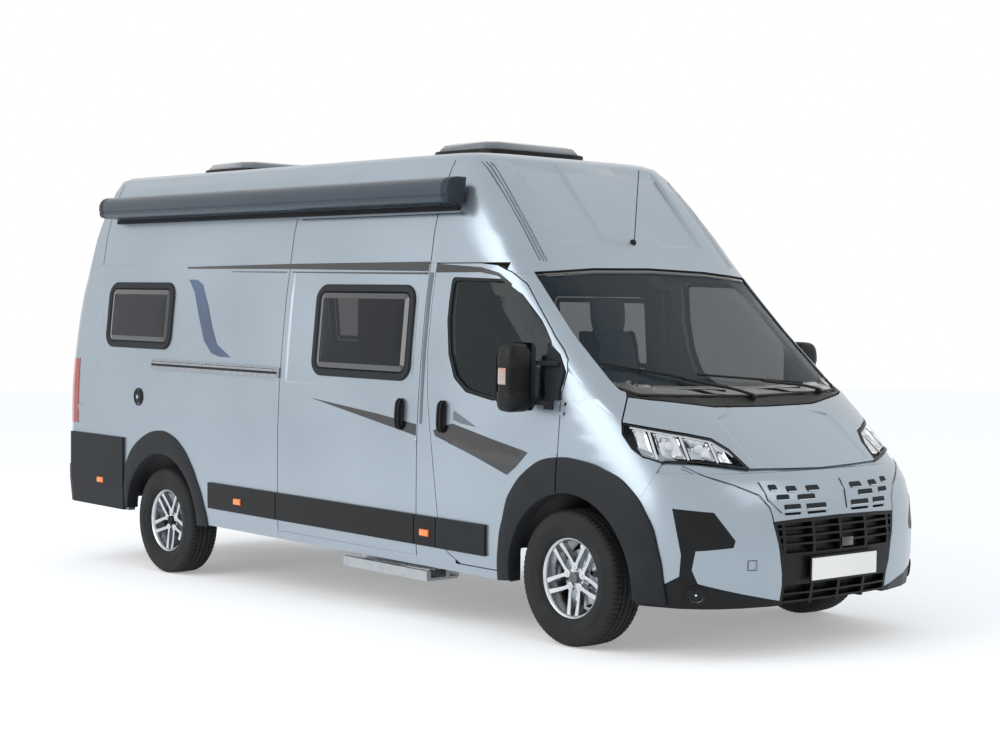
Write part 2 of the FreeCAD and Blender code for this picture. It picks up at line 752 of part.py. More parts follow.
lower_skin = thin_skin.common(slab(0, bonnet_front - shut_gap, 0))
bumper_space = [(middle, bonnet_front - shut_gap)]
bumper_space += [(s, z - shut_gap / 2) for s, z in corner_points(lamp_bottom_shares[:3])]
bumper_space += [(s + seat_gap, z - seat_gap) for s, z in corner_points(bumper_seam_shares)]
bumper_space += [(bumper_space[-1][0], 0), (middle, 0)]
bumper_left = corner_prism(bumper_space)
fascia = lower_skin.common(bumper_left.fuse(mirrored(bumper_left))).cut(front_arch)
patch = corner_points(black_patch_shares)
patch_left = corner_prism(moved(patch, seat_gap))
bumper = fascia.cut(front_cut(grille_points(0), 0, front_end))
bumper = bumper.cut(fused(both(patch_left)))
slots = []
for y_low, y_high, z_mid, z_half in slot_shares:
    low, high = (z_mid - z_half) * body_top, (z_mid + z_half) * body_top
    a, b = y_low * grille_half, y_high * grille_half
    slots.append(front_cut([(a, low), (b - slot_slant, low), (b, high), (a + slot_slant, high)],
                           0, front_end))
bumper = bumper.cut(fused(slots + [mirrored(slot) for slot in slots]))
keep("front_bumper", [s for s in bumper.Solids if s.Volume > wall ** 3])
trim_left = fascia.common(corner_prism(patch)).cut(front_cut(grille_points(0), 0, front_end))
keep("bumper_corners", both(trim_left))

plate_panel_low = 385.0
plate_panel_high = 548.0
grille_body = fascia.common(front_cut(grille_points(-seat_gap), 0, front_end))
bars = [slab(plate_panel_low, plate_panel_high)]
z = plate_panel_high + bar_pitch
while z < grille_low + grille_height * bar_top_share:
    bars.append(slab(z, z + bar_thickness))
    z += bar_pitch
z = plate_panel_low - bar_pitch - bar_thickness
while z > sill_bottom:
    bars.append(slab(z, z + bar_thickness))
    z -= bar_pitch
for i in range(upright_count):
    y = upright_spread * grille_half * (2 * i / (upright_count - 1) - 1)
    bars.append(slab(0, roof_joint, 0, front_end, y - bar_thickness, y + bar_thickness))
rim_cut = front_cut(grille_points(-2 * bar_thickness), 0, front_end)
grille = grille_body.cut(rim_cut).fuse(grille_body.common(fused(bars)))
keep("grille", grille)


# Wheel arch flares, side strips and rear bumper, which stand proud of the skin
trim_proud = 17.0
proud_top = 1000.0
flare_radius = 640.0
flare_arch_radius = 455.0
front_flare_shares = [
    (-0.867, -0.088), (-0.867, 0.006), (-0.862, 0.208), (-0.812, 0.414), (-0.727, 0.661),
    (-0.567, 0.833), (-0.338, 0.969), (-0.181, 0.991), (0.102, 1.003), (0.375, 0.961),
    (0.583, 0.880), (0.725, 0.775), (0.863, 0.570), (0.942, 0.327), (0.978, 0.097),
    (0.981, -0.088),
]
rear_flare_shares = [
    (-0.780, 0.045), (-0.780, 0.290), (-0.710, 0.553), (-0.590, 0.775), (-0.340, 0.930),
    (0.024, 0.969), (0.242, 0.901), (0.421, 0.818), (0.581, 0.678), (0.704, 0.486),
    (0.804, 0.290), (0.901, 0.045),
]
strip_low = 401.0
strip_high = 572.0
strip_front = -630.0
strip_rear = -3430.0
strip_split = -1048.0
rear_bumper_front = -4538.0
rear_bumper_side_top = 794.0
rear_bumper_back = -5300.0
rear_bumper_depth = 90.0

proud = skin_layer(sill_bottom, proud_top, -trim_proud, -seat_gap)
proud_left = proud.common(slab(0, roof_joint, rear_end, front_end, half_width / 2))


def flare(shares, centre_x, centre_z):
    points = [(centre_x + x * flare_radius, centre_z + z * flare_radius) for x, z in shares]
    return proud_left.common(side_cut(points, 0, far)).cut(
        tube_y(centre_x, 0, far, centre_z, flare_arch_radius, arch_sides))


flare_gap = 14.0
flare_split = door_front - flare_gap
front_flare = flare(front_flare_shares, front_arch_x, front_arch_z)
hinge_space = fused([
    block(door_hinge_x - 5 * hinge_barrel, door_hinge_x + 6 * hinge_barrel, 0, far,
          z - 1.3 * hinge_height, z + 1.3 * hinge_height) for z in door_hinge_heights])
front_flare = front_flare.cut(hinge_space)
wing_flare = front_flare.common(slab(0, roof_joint, flare_split + flare_gap / 2))
door_flare = front_flare.common(slab(0, roof_joint, rear_end, flare_split - flare_gap / 2))
sill_flare = door_flare.common(slab(0, cab_sill_top))
door_flare = door_flare.common(slab(door_bottom, roof_joint))
rear_flare = flare(rear_flare_shares, rear_axle_x, rear_axle_z)
keep("wheel_arch_flares", both(wing_flare) + both(rear_flare) + both(sill_flare))


def strip(x_low, x_high):
    return proud_left.common(slab(strip_low, strip_high, x_low, x_high))


rear_strip = strip(strip_rear, sliding_door_rear - shut_gap)
slider_strip = strip(sliding_door_rear, b_pillar_rear - shut_gap)
pillar_strip = strip(b_pillar_rear, strip_split - shut_gap)
door_strip = strip(strip_split, strip_front)
keep("side_strips", both(rear_strip) + both(slider_strip) + both(pillar_strip))

bumper_layer = skin_layer(sill_bottom, rear_bumper_side_top, -trim_proud - seat_gap, -seat_gap)
rear_sides = bumper_layer.common(slab(0, rear_bumper_side_top, rear_bumper_back,
                                      rear_bumper_front))
rear_wrap = bumper_layer.common(slab(0, rear_door_bottom - shut_gap, rear_end,
                                     rear_bumper_back + seat_gap))
rear_beam = skin_layer(sill_bottom, rear_door_bottom - shut_gap, -trim_proud, rear_bumper_depth)
rear_beam = rear_beam.common(slab(0, rear_door_bottom - shut_gap, rear_end,
                                  -wheelbase - rear_overhang * rear_reach,
                                  -rear_door_half, rear_door_half))
keep("rear_bumper", fused([rear_sides, rear_wrap, rear_beam]))


# Tail lamps in the rear corners
tail_lamp_low = 860.0
tail_lamp_high = 1330.0
tail_lamp_side = 60.0
tail_lamp_depth = 48.0
tail_lamp_proud = 4.0
tail_lamp_front = -wheelbase - rear_overhang + rear_corner_radius + tail_lamp_side
tail_lamp_inner = rear_hinge_y + rear_arm_reach
lamp_band = skin_layer(tail_lamp_low, tail_lamp_high, -tail_lamp_proud, tail_lamp_depth)
lamp_place = block(rear_end, tail_lamp_front, tail_lamp_inner, far, tail_lamp_low, tail_lamp_high)
tail_lamp = lamp_band.common(lamp_place)
keep("tail_lamps", both(tail_lamp))
lamp_seat = block(rear_end, tail_lamp_front + seat_gap, tail_lamp_inner - seat_gap, far,
                  tail_lamp_low - seat_gap, tail_lamp_high + seat_gap)
lamp_pocket = skin_layer(tail_lamp_low - seat_gap, tail_lamp_high + seat_gap, -overrun,
                         tail_lamp_depth + seat_gap).common(lamp_seat)
for side, shape in zip(("left", "right"), both(lamp_pocket)):
    wall_panel = pieces["side_wall_" + side].cut(shape)
    lugs = rear_lugs if side == "left" else [mirrored(lug) for lug in rear_lugs]
    keep("side_wall_" + side, fused([wall_panel] + lugs).removeSplitter())


# Door fittings: mirror, handle, strip and the door's part of the flare
mirror_x = -330.0
mirror_inner = 1075.0
mirror_outer = 1254.0
mirror_low = 1210.0
mirror_high = 1580.0
mirror_depth = 130.0
mirror_corner = 40.0
sail_shares = [(0.003, 0.537), (0.098, 0.537), (0.095, 0.585), (0.130, 0.745), (0.058, 0.712),
               (0.006, 0.660)]
handle_x = -1020.0
handle_z = 1142.0
handle_length = 150.0
handle_width = 42.0
handle_proud = 22.0


def make_mirror():
    """Twin-arm door mirror: housing on two short arms from the sail plate."""
    head = front_cut([(mirror_inner, mirror_low), (mirror_outer, mirror_low + mirror_corner),
                      (mirror_outer, mirror_high - 2 * mirror_corner),
                      (mirror_outer - 2 * mirror_corner, mirror_high), (mirror_inner, mirror_high)],
                     mirror_x, mirror_x + mirror_depth, mirror_corner)
    arms = []
    for z in (mirror_low + mirror_corner, mirror_high - 3 * mirror_corner):
        root = skin_y(z) + seat_gap
        near = mirror_inner + hinge_pin
        arms.append(prism(closed([Vector(mirror_x + mirror_corner, near, z),
                                  Vector(mirror_x + 2 * mirror_corner, near, z),
                                  Vector(door_front - mirror_corner, root, z),
                                  Vector(door_front - 3 * mirror_corner, root, z)]),
                          Vector(0, 0, mirror_corner * 0.6)))
    sail_points = door_points(sail_shares)
    heights = [z for _, z in sail_points]
    sail_layer = skin_layer(min(heights) - overrun, max(heights) + overrun, -trim_proud, -seat_gap)
    sail = sail_layer.common(side_cut(sail_points, half_width / 2, far))
    return fused([head] + arms + [sail])


def make_handle(x, z):
    """Upright grip that stands off the skin."""
    y = skin_y(z - handle_length / 2)
    grip = side_cut([(x - handle_width / 2, z - handle_length / 2),
                     (x + handle_width / 2, z - handle_length / 2),
                     (x + handle_width / 2, z + handle_length / 2),
                     (x - handle_width / 2, z + handle_length / 2)],
                    y + seat_gap, y + handle_proud, handle_width * 0.45)
    return grip


mirror = make_mirror().cut(hinge_space)
mirror = max(mirror.Solids, key=lambda solid: solid.Volume)
door_handle = make_handle(handle_x, handle_z)
fittings = [mirror, door_handle, door_strip, door_flare]
keep("door_fittings_left", fittings)
keep("door_fittings_right", [mirrored(f) for f in fittings])

# Sliding door's handle and rail
slide_handle_x = -1400.0
slide_handle_z = 1136.0
slide_handle = make_handle(slide_handle_x, slide_handle_z)
rail_rear = -4190.0
rail_proud = 12.0
rail_low = 1292.0
rail_high = 1356.0
rail_band = skin_layer(rail_low, rail_high, -rail_proud, -seat_gap)
rail = rail_band.common(slab(rail_low, rail_high, rail_rear, sliding_door_rear - shut_gap,
                             half_width / 2))
keep("slide_rail", [mirrored(rail), mirrored(slide_handle)])


# Awning, roof lights and step
awning_front = -1020.0
awning_rear = -4950.0
awning_low = 2340.0
awning_high = 2490.0
awning_out = 1020.0
awning_case_shares = [(0.600, 1.000), (0.167, 0.833), (0.000, 0.467), (0.080, 0.120), (0.300, 0.000)]
roof_light_length = 565.0
roof_light_half = 400.0
roof_light_high = 2755.0
roof_light_fronts = (-1375.0, -4000.0)
roof_light_corner = 60.0
roof_light_rings = [(0.00, 0.00), (0.45, 0.02), (0.85, 0.09), (1.00, 0.20)]
step_front = -1110.0
step_rear = -1900.0
step_low = 205.0
step_high = 262.0
step_out = 1050.0
step_depth = 230.0
step_plate = 16.0
step_bar = 30.0
step_leg = 40.0
step_leg_inset = 60.0

awning_height = awning_high - awning_low
awning_levels = (awning_low, section_shares[17][0] * body_top, awning_high)
awning_profile = [(skin_y(z) + seat_gap, z) for z in awning_levels]
awning_profile += [(awning_out - y * awning_height, awning_low + z * awning_height)
                   for y, z in awning_case_shares]
keep("awning", mirrored(front_cut(awning_profile, awning_rear, awning_front)))


def make_roof_light(front):
    """Domed cover of a roof window, drawn ring by ring from the roof up."""
    rings = []
    low = roof_peak + seat_gap
    for height_share, inset_share in roof_light_rings:
        z = low + height_share * (roof_light_high - low)
        inset = inset_share * roof_light_half
        a, b = front - roof_light_length + inset, front - inset
        c = roof_light_half - inset
        corner = roof_light_corner
        half = [(a + corner, -c), (b - corner, -c), (b, corner - c)]
        half += [(x, -y) for x, y in reversed(half)]
        half += [(a, c - corner), (a, corner - c)]
        rings.append(closed([Vector(x, y, z) for x, y in half]))
    return Part.makeLoft(rings, True, True)


keep("roof_lights", [make_roof_light(front) for front in roof_light_fronts])


def make_step():
    """Entry step: plate, two bars along it and the two legs that hang it from the sill."""
    inner = step_out - step_depth
    parts = [block(step_rear, step_front, inner, step_out, step_low, step_low + step_plate)]
    for y in (inner + 2 * step_bar, step_out - step_bar):
        parts.append(block(step_rear, step_front, y, y + step_bar, step_low, step_high))
    for x in (step_rear + step_leg_inset, step_front - step_leg_inset - step_leg):
        parts.append(block(x, x + step_leg, inner - step_leg_inset, inner + step_leg_inset,
                           step_low, floor_low - seat_gap))
    return fused(parts)


floor_low = 500.0
keep("entry_step", mirrored(make_step()))


# Floor, rails and wheel housings
radiator_space = (800.0, 850.0, -390.0, 390.0, 330.0, 800.0)
floor_thickness = 35.0
floor_front = -458.5
floor_rear = -5235.0
load_half = 968.5
cab_half = 955.0
rail_inner = 476.7
rail_outer = 556.7
rail_bottom = 400.0
nose_rail_low = 460.0
nose_rail_high = 560.0
nose_rail_end = 870.0
liner_radius = 475.0
liner_wall = 8.0
liner_outer = 960.0
beam_half = 600.0
beam_depth = 90.0
sill_skirt = 30.0
cross_members = [-1300.0, -2650.0, -4700.0]

floor_high = floor_low + floor_thickness
floor_plate = block(floor_rear, b_pillar_rear, -load_half, load_half, floor_low, floor_high)
floor_plate = floor_plate.fuse(
    block(b_pillar_rear, floor_front, -cab_half, cab_half, floor_low, floor_high))
housing = liner_radius + liner_wall + seat_gap
wells = both(block(rear_axle_x - housing, rear_axle_x + housing, rail_outer, far, 0, floor_high))
floor_parts = [floor_plate.cut(fused(wells))]
rail = block(floor_rear, floor_front, rail_inner, rail_outer, rail_bottom, floor_low)
nose_rail = block(floor_front - wall, nose_rail_end, rail_inner, rail_outer,
                  nose_rail_low, nose_rail_high)
skirt = block(b_pillar_rear + wall, floor_front - seat_gap, cab_half - sill_skirt, cab_half,
              sill_bottom, floor_low)
skirt = skirt.cut(front_arch)
for shape in (rail, nose_rail, skirt):
    floor_parts += both(shape)
beam = skin_layer(nose_rail_low, nose_rail_high, thin_wall + 2 * seat_gap, beam_depth)
floor_parts.append(beam.common(slab(0, roof_joint, front_arch_x, front_end,
                                    -beam_half, beam_half)))
for bracket in both(block(radiator_space[0], radiator_space[1], radiator_space[3] + seat_gap,
                          rail_inner + hinge_barrel, nose_rail_low, nose_rail_high)):
    floor_parts.append(bracket)
for x in cross_members:
    floor_parts.append(block(x, x + 2 * wall, -rail_inner, rail_inner, rail_bottom + overrun,
                             floor_low))
keep("floor_pan", fused(floor_parts))


def make_liner(x, z, z_low):
    """Half-round inner wheel housing with its inner side."""
    ring = tube_y(x, rail_outer + seat_gap, liner_outer, z, liner_radius + liner_wall, arch_sides)
    ring = ring.cut(tube_y(x, rail_outer + liner_wall, far, z, liner_radius, arch_sides))
    return ring.common(slab(z_low, roof_joint, rear_end, front_end, 0))


front_liner = make_liner(front_arch_x, front_arch_z, nose_rail_low)
rear_liner = make_liner(rear_axle_x, rear_axle_z, rail_bottom)
keep("wheel_liners", both(front_liner) + both(rear_liner))


# Cab interior
firewall_low = 500.0
firewall_step = 830.0
dash_half = 880.0
dash_rear = -360.0
dash_high = 1262.0
dash_shares = [
    (1.000, 0.000), (1.000, 1.000), (0.565, 0.890), (0.042, 0.660), (0.000, 0.420), (0.239, 0.000),
]
dash_nose = 330.0
dash_nose_top = 1256.0
wheel_place = Vector(-390.0, 420.0, 1130.0)
wheel_ring = 190.0
wheel_grip = 14.0
wheel_tilt = 28.0
boss_share = 0.3
spoke_turns = (0, 90, 180)
grip_sides = 6
column_length = 240.0

inside = skin_solid([wall + sill_bottom - overrun] + inner_levels[1:-2] + [roof_joint],
                    wall + seat_gap)
firewall = fused([
    slab(firewall_low, dash_top, firewall_x, firewall_x + firewall_thickness,
         -rail_inner, rail_inner),
    slab(firewall_step, dash_top, firewall_x, firewall_x + firewall_thickness, -cab_half, cab_half),
    slab(nose_rail_high + seat_gap, firewall_step, firewall_x, firewall_x + firewall_thickness,
         -rail_outer, rail_outer),
])
keep("firewall", firewall.common(inside))
dash_front = firewall_x - seat_gap
dash_points = [(dash_rear + x * (dash_front - dash_rear),
                firewall_step + z * (dash_high - firewall_step)) for x, z in dash_shares]
dash_points[1:1] = [(dash_front, dash_top + seat_gap), (dash_nose, dash_top + seat_gap),
                    (dash_nose, dash_nose_top)]
dash = side_cut(dash_points, -dash_half, dash_half).common(inside)
hinge_notch = block(firewall_x - seat_gap, front_end, bonnet_hinge_y - 2 * bonnet_arm,
                    bonnet_hinge_y + 2 * bonnet_arm, dash_top + seat_gap, roof_joint)
dash = dash.cut(fused(both(hinge_notch)))
keep("dashboard", dash)


def faceted_ring(profile, y, sides, first_turn=0.0):
    """Ring about the Y axis from a closed profile of (radius, distance along Y) points."""
    turns = [first_turn + 2 * math.pi * i / sides for i in range(sides)]
    rows = [[Vector(r * math.cos(a), y + w, r * math.sin(a)) for a in turns] for r, w in profile]
    faces = []
    for row, following in zip(rows, rows[1:] + rows[:1]):
        for i in range(sides):
            quad = [row[i - 1], row[i], following[i], following[i - 1]]
            faces.append(Part.Face(closed(quad)))
    solid = Part.Solid(Part.Shell(faces))
    if solid.Volume < 0:
        solid.reverse()
    return solid


def make_steering_wheel():
    """Rim with three spokes, boss and column, built upright and then tilted."""
    grip = []
    for i in range(grip_sides):
        a = 2 * math.pi * i / grip_sides
        grip.append((wheel_ring + wheel_grip * math.cos(a), wheel_grip * math.sin(a)))
    parts = [faceted_ring(grip, 0, 2 * bar_sides)]
    parts.append(tube_y(0, -wheel_grip, wheel_grip, 0, boss_share * wheel_ring))
    for turn in spoke_turns:
        spoke = block(0, wheel_ring, -wheel_grip / 2, wheel_grip / 2, -wheel_grip, wheel_grip)
        spoke.rotate(Vector(0, 0, 0), Vector(0, 1, 0), turn)
        parts.append(spoke)
    parts.append(tube_y(0, 0, column_length, 0, 2 * wheel_grip))
    wheel = fused(parts)
    wheel.rotate(Vector(0, 0, 0), Vector(0, 0, 1), -90)
    wheel.rotate(Vector(0, 0, 0), Vector(0, 1, 0), wheel_tilt)
    wheel.translate(wheel_place)
    return wheel.cut(dash)


keep("steering_wheel", max(make_steering_wheel().Solids, key=lambda solid: solid.Volume))

seat_y = 420.0
seat_half = 240.0
seat_base_high = 880.0
seat_rear = -1235.0
seat_length = 695.0
seat_height = 760.0
cushion_shares = [
    (0.971, 0.000), (1.000, 0.105), (0.950, 0.171), (0.324, 0.145), (0.122, 1.000),
    (0.007, 0.980), (0.151, 0.138), (0.209, 0.000),
]
headrest_shares = [(0.137, 1.026), (0.108, 1.276), (0.000, 1.276), (0.014, 1.013)]
headrest_half = 130.0
cushion_corner = 30.0
plinth_front = -600.0
plinth_rear = -1060.0
plinth_share = 0.8
post_radius = 8.0


def seat_points(shares):
    low = seat_base_high + seat_gap
    return [(seat_rear + x * seat_length, low + z * seat_height) for x, z in shares]


def make_cab_seat():
    """Cushion, back and headrest of one cab seat in one upholstered piece."""
    cushion, rest = seat_points(cushion_shares), seat_points(headrest_shares)
    seat = side_cut(cushion, -seat_half, seat_half, cushion_corner)
    head = side_cut(rest, -headrest_half, headrest_half, cushion_corner)
    posts = []
    post_x = (rest[0][0] + rest[-1][0]) / 2
    post_z = cushion[4][1]
    for y in (-headrest_half / 2, headrest_half / 2):
        posts.append(tube_z(post_x, y, post_z - 2 * overrun, post_z + 2 * overrun, post_radius))
    return fused([seat, head] + posts)


seats = []
plinths = []
for y in (-seat_y, seat_y):
    seat = make_cab_seat()
    seat.translate(Vector(0, y, 0))
    seats.append(seat)
    reach = plinth_share * seat_half
    plinths.append(block(plinth_rear, plinth_front, y - reach, y + reach,
                         floor_high + seat_gap, seat_base_high))
keep("cab_seats", seats)
keep("seat_bases", plinths)


# Camper furniture
furniture_low = floor_high + seat_gap
# Each block is given by its ends along X, its sides across Y and its top
kitchen = (-3600.0, -2700.0, -950.0, -450.0, 1440.0)
washroom = (-3530.0, -2500.0, 250.0, 950.0, 2350.0)
bench = (-2150.0, -1650.0, 150.0, 950.0, 1000.0)
bed = (-5200.0, -3740.0, 1000.0)
bed_thickness = 130.0
bed_legs = 60.0
mattress_half = 900.0
bench_back = 120.0

kitchen_block = block(*kitchen[:4], furniture_low, kitchen[4])
washroom_block = block(*washroom[:4], furniture_low, washroom[4]).common(
    skin_solid([sill_bottom - overrun] + inner_levels[1:], wall + seat_gap))
bench_block = block(*bench[:4], furniture_low, bench[4])
bed_frame = block(bed[0], bed[1], -mattress_half, mattress_half, bed[2] - bed_legs, bed[2])
bed_frame = bed_frame.fuse(block(bed[1] - bed_legs / 2, bed[1], -rail_outer, rail_outer,
                                 furniture_low, bed[2]))
bed_tail = both(block(bed[0], bed[0] + bed_legs, mattress_half - bed_legs, mattress_half,
                      furniture_low, bed[2]))
bed_frame = fused([bed_frame] + bed_tail)
keep("furniture", [kitchen_block, washroom_block, bench_block, bed_frame])

mattress = block(bed[0], bed[1], -mattress_half, mattress_half, bed[2] + seat_gap,
                 bed[2] + bed_thickness)
bench_pad = side_cut(
    [(bench[0], bench[4] + seat_gap), (bench[1], bench[4] + seat_gap),
     (bench[1], bench[4] + bench_back), (bench[0] + bench_back, bench[4] + bench_back),
     (bench[0] + bench_back, bench[4] + 5 * bench_back), (bench[0], bench[4] + 5 * bench_back)],
    bench[2], bench[3] - sill_skirt)
keep("cushions", [mattress, bench_pad])


# Engine, cooling pack, subframe, tanks and axles
engine_space = (140.0, 640.0, -350.0, 350.0, 320.0, 950.0)
subframe_low = 215.0
subframe_high = 290.0
subframe_x = 190.0
kingpin_y = 830.0
arm_low = 190.0
arm_high = 222.0
arm_eye = 26.0
arm_root = 150.0
ball_pin = 9.0
strut_y = 735.0
strut_radius = 28.0
strut_top = 790.0
stub_radius = 29.7
stub_inner = 790.0
disc_radius = 126.0
disc_width = 26.0
disc_y = 845.0
carrier_radius = 52.0

keep("engine_block", block(*engine_space))
keep("radiator", block(*radiator_space))

subframe = [block(-subframe_x, subframe_x, -rail_outer, rail_outer, subframe_low, subframe_high)]
for x in (-subframe_x, subframe_x - wall):
    subframe += both(block(x, x + wall, rail_inner, rail_outer, subframe_high,
                           nose_rail_low - seat_gap))
    subframe.append(block(x, x + wall, -rail_inner, rail_inner, subframe_high,
                          engine_space[4] - seat_gap))
arm_corners = [(arm_root, rail_inner), (-arm_root, rail_inner), (-arm_eye, kingpin_y),
               (arm_eye, kingpin_y)]
lower_arm = prism(closed([Vector(x, y, arm_low) for x, y in arm_corners]),
                  Vector(0, 0, arm_high - arm_low))
eye = tube_z(0, kingpin_y, arm_low, arm_high, arm_eye)
bore = pin_z(0, kingpin_y, 0, far, ball_pin + seat_gap)
subframe += both(lower_arm.fuse(eye).cut(bore))
keep("front_subframe", fused(subframe))


def make_knuckle():
    """Left steering knuckle: stub axle, carrier, brake disc, ball pin and strut."""
    z = axle_height
    stub = pin_y(0, stub_inner, front_wheel_y + rim_width / 2 - rim_lip * 2, z, stub_radius)
    carrier = tube_y(0, stub_inner, disc_y, z, carrier_radius)
    disc = tube_y(0, disc_y, disc_y + disc_width, z, disc_radius, 2 * bar_sides)
    leg = block(-arm_eye, arm_eye, stub_inner, disc_y, arm_high + seat_gap, z)
    pin = pin_z(0, kingpin_y, arm_low - hinge_pin, arm_high + overrun, ball_pin)
    strut = tube_z(0, strut_y, z, strut_top, strut_radius)
    seat_z = strut_top - 4 * overrun
    spring_seat = tube_z(0, strut_y, seat_z, seat_z + hinge_barrel, 2 * strut_radius)
    bridge = block(-strut_radius, strut_radius, strut_y, stub_inner + wall, z, z + 2 * strut_radius)
    return fused([stub, carrier, disc, leg, pin, strut, spring_seat, bridge])


knuckle = make_knuckle()
for side, shape in zip(("left", "right"), both(knuckle)):
    keep("knuckle_" + side, shape)

spring_reach = 640.0
spring_rise = 42.0
leaf = 30.0
beam_side = 40.0
z = rear_axle_z + beam_side
rear_axle = [block(rear_axle_x - beam_side, rear_axle_x + beam_side, -stub_inner, stub_inner,
                   rear_axle_z - beam_side, z)]
left_side = [pin_y(rear_axle_x, stub_inner - beam_side,
                   rear_wheel_y + rim_width / 2 - 2 * rim_lip, rear_axle_z, stub_radius),
             tube_y(rear_axle_x, disc_y - 2 * disc_width, disc_y, rear_axle_z, disc_radius,
                    2 * bar_sides)]
left_side.append(side_cut(
    [(rear_axle_x - spring_reach, z + spring_rise), (rear_axle_x, z),
     (rear_axle_x + spring_reach, z + spring_rise),
     (rear_axle_x + spring_reach, z + spring_rise + leaf), (rear_axle_x, z + leaf),
     (rear_axle_x - spring_reach, z + spring_rise + leaf)],
    rail_inner + hinge_barrel, rail_outer - hinge_barrel))
left_side.append(block(rear_axle_x - wall, rear_axle_x + wall, rail_inner, rail_outer,
                       z - hinge_pin, z + leaf + hinge_barrel))
for x in (rear_axle_x - spring_reach, rear_axle_x + spring_reach - wall):
    left_side.append(block(x, x + wall, rail_inner, rail_outer, z + spring_rise,
                           rail_bottom - seat_gap))
rear_axle += left_side + [mirrored(shape) for shape in left_side]
keep("rear_axle", fused(rear_axle))

fuel_tank_rear = -2600.0
fuel_tank_front = -1700.0
fuel_tank_side = -150.0
fuel_tank_low = 270.0
water_tank_rear = -5150.0
water_tank_front = -4760.0
water_tank_low = 300.0

fuel_tank = block(fuel_tank_rear, fuel_tank_front, -rail_inner + seat_gap, fuel_tank_side,
                  fuel_tank_low, rail_bottom + overrun)
water_tank = block(water_tank_rear, water_tank_front, -rail_inner + seat_gap,
                   rail_inner - seat_gap, water_tank_low, rail_bottom + overrun - seat_gap)
keep("underbody_tanks", [fuel_tank.cut(floor_parts[0]), water_tank])


# Wheels
bead_half = 74.2
sidewall_radius = 285.0
bead_angle_depth = 8.0
spoke_pairs = 5
spoke_angle = 11.0
spoke_root = 15.0
spoke_foot = 11.0


def make_tyre():
    """Tyre body with its beads, bulged sidewalls, shoulders and tread."""
    half = [(rim_radius + seat_gap, bead_half), (sidewall_radius, tyre_width / 2),
            (tyre_radius - shoulder_drop, tread_width / 2 + shoulder_drop),
            (tyre_radius, tread_width / 2)]
    profile = half + [(r, -w) for r, w in reversed(half)]
    return faceted_ring(profile, 0, wheel_sides, math.radians(rake_angle))


def make_rim():
    """Rim barrel with lips, hub and five pairs of spokes."""
    lip = rim_width / 2
    inner = rim_radius - rim_wall
    half = [(inner, lip), (rim_radius + rim_lip, lip), (rim_radius, lip - bead_angle_depth)]
    profile = half + [(r, -w) for r, w in reversed(half)]
    barrel = faceted_ring(profile, 0, wheel_sides, math.radians(rake_angle))
    face = lip - spoke_inset
    hub = tube_y(0, face - hub_depth, face, 0, hub_radius, wheel_sides // 2)
    foot, root = inner + rim_wall / 2, hub_radius / 2
    outline_points = [(root, -spoke_root), (foot, -spoke_foot), (foot, spoke_foot),
                      (root, spoke_root)]
    spokes = []
    for i in range(spoke_pairs):
        for offset in (-spoke_angle, spoke_angle):
            spoke = side_cut(outline_points, face - spoke_depth, face)
            spoke.rotate(Vector(0, 0, 0), Vector(0, 1, 0), 360 * i / spoke_pairs + offset)
            spokes.append(spoke)
    rim = fused([barrel, hub] + spokes)
    return rim.cut(pin_y(0, -lip, lip, 0, hub_bore_radius))


wheels = {"front": (0.0, front_wheel_y, axle_height),
          "rear": (rear_axle_x, rear_wheel_y, rear_axle_z)}
tyre = make_tyre()
rim = make_rim()
for end, (x, y, z) in wheels.items():
    for name, shape in (("tyre", tyre), ("rim", rim)):
        placed = shape.copy()
        placed.translate(Vector(x, y, z))
        keep(name + "_" + end + "_left", placed)
        keep(name + "_" + end + "_right", mirrored(placed))


# Stand the van nose down on its wheels, centred along its length, and write the pieces
for shape in pieces.values():
    shape.rotate(Vector(0, 0, axle_height), Vector(0, 1, 0), rake_angle)
    shape.translate(Vector(0, 0, tyre_radius - axle_height))
whole = FreeCAD.BoundBox()
for shape in pieces.values():
    whole.add(shape.BoundBox)
centre = (whole.XMin + whole.XMax) / 2
print("shift", -centre)
print("overall", whole.XLength, whole.YLength, whole.ZMin, whole.ZMax)
for name, shape in pieces.items():
    shape.translate(Vector(-centre, 0, 0))
    print(name, len(shape.Solids), shape.isValid())
    shape.exportStep("parts/" + name + ".step")
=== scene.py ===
import json
import math

import bmesh
import bpy
from mathutils import Matrix, Vector
from mathutils.bvhtree import BVHTree

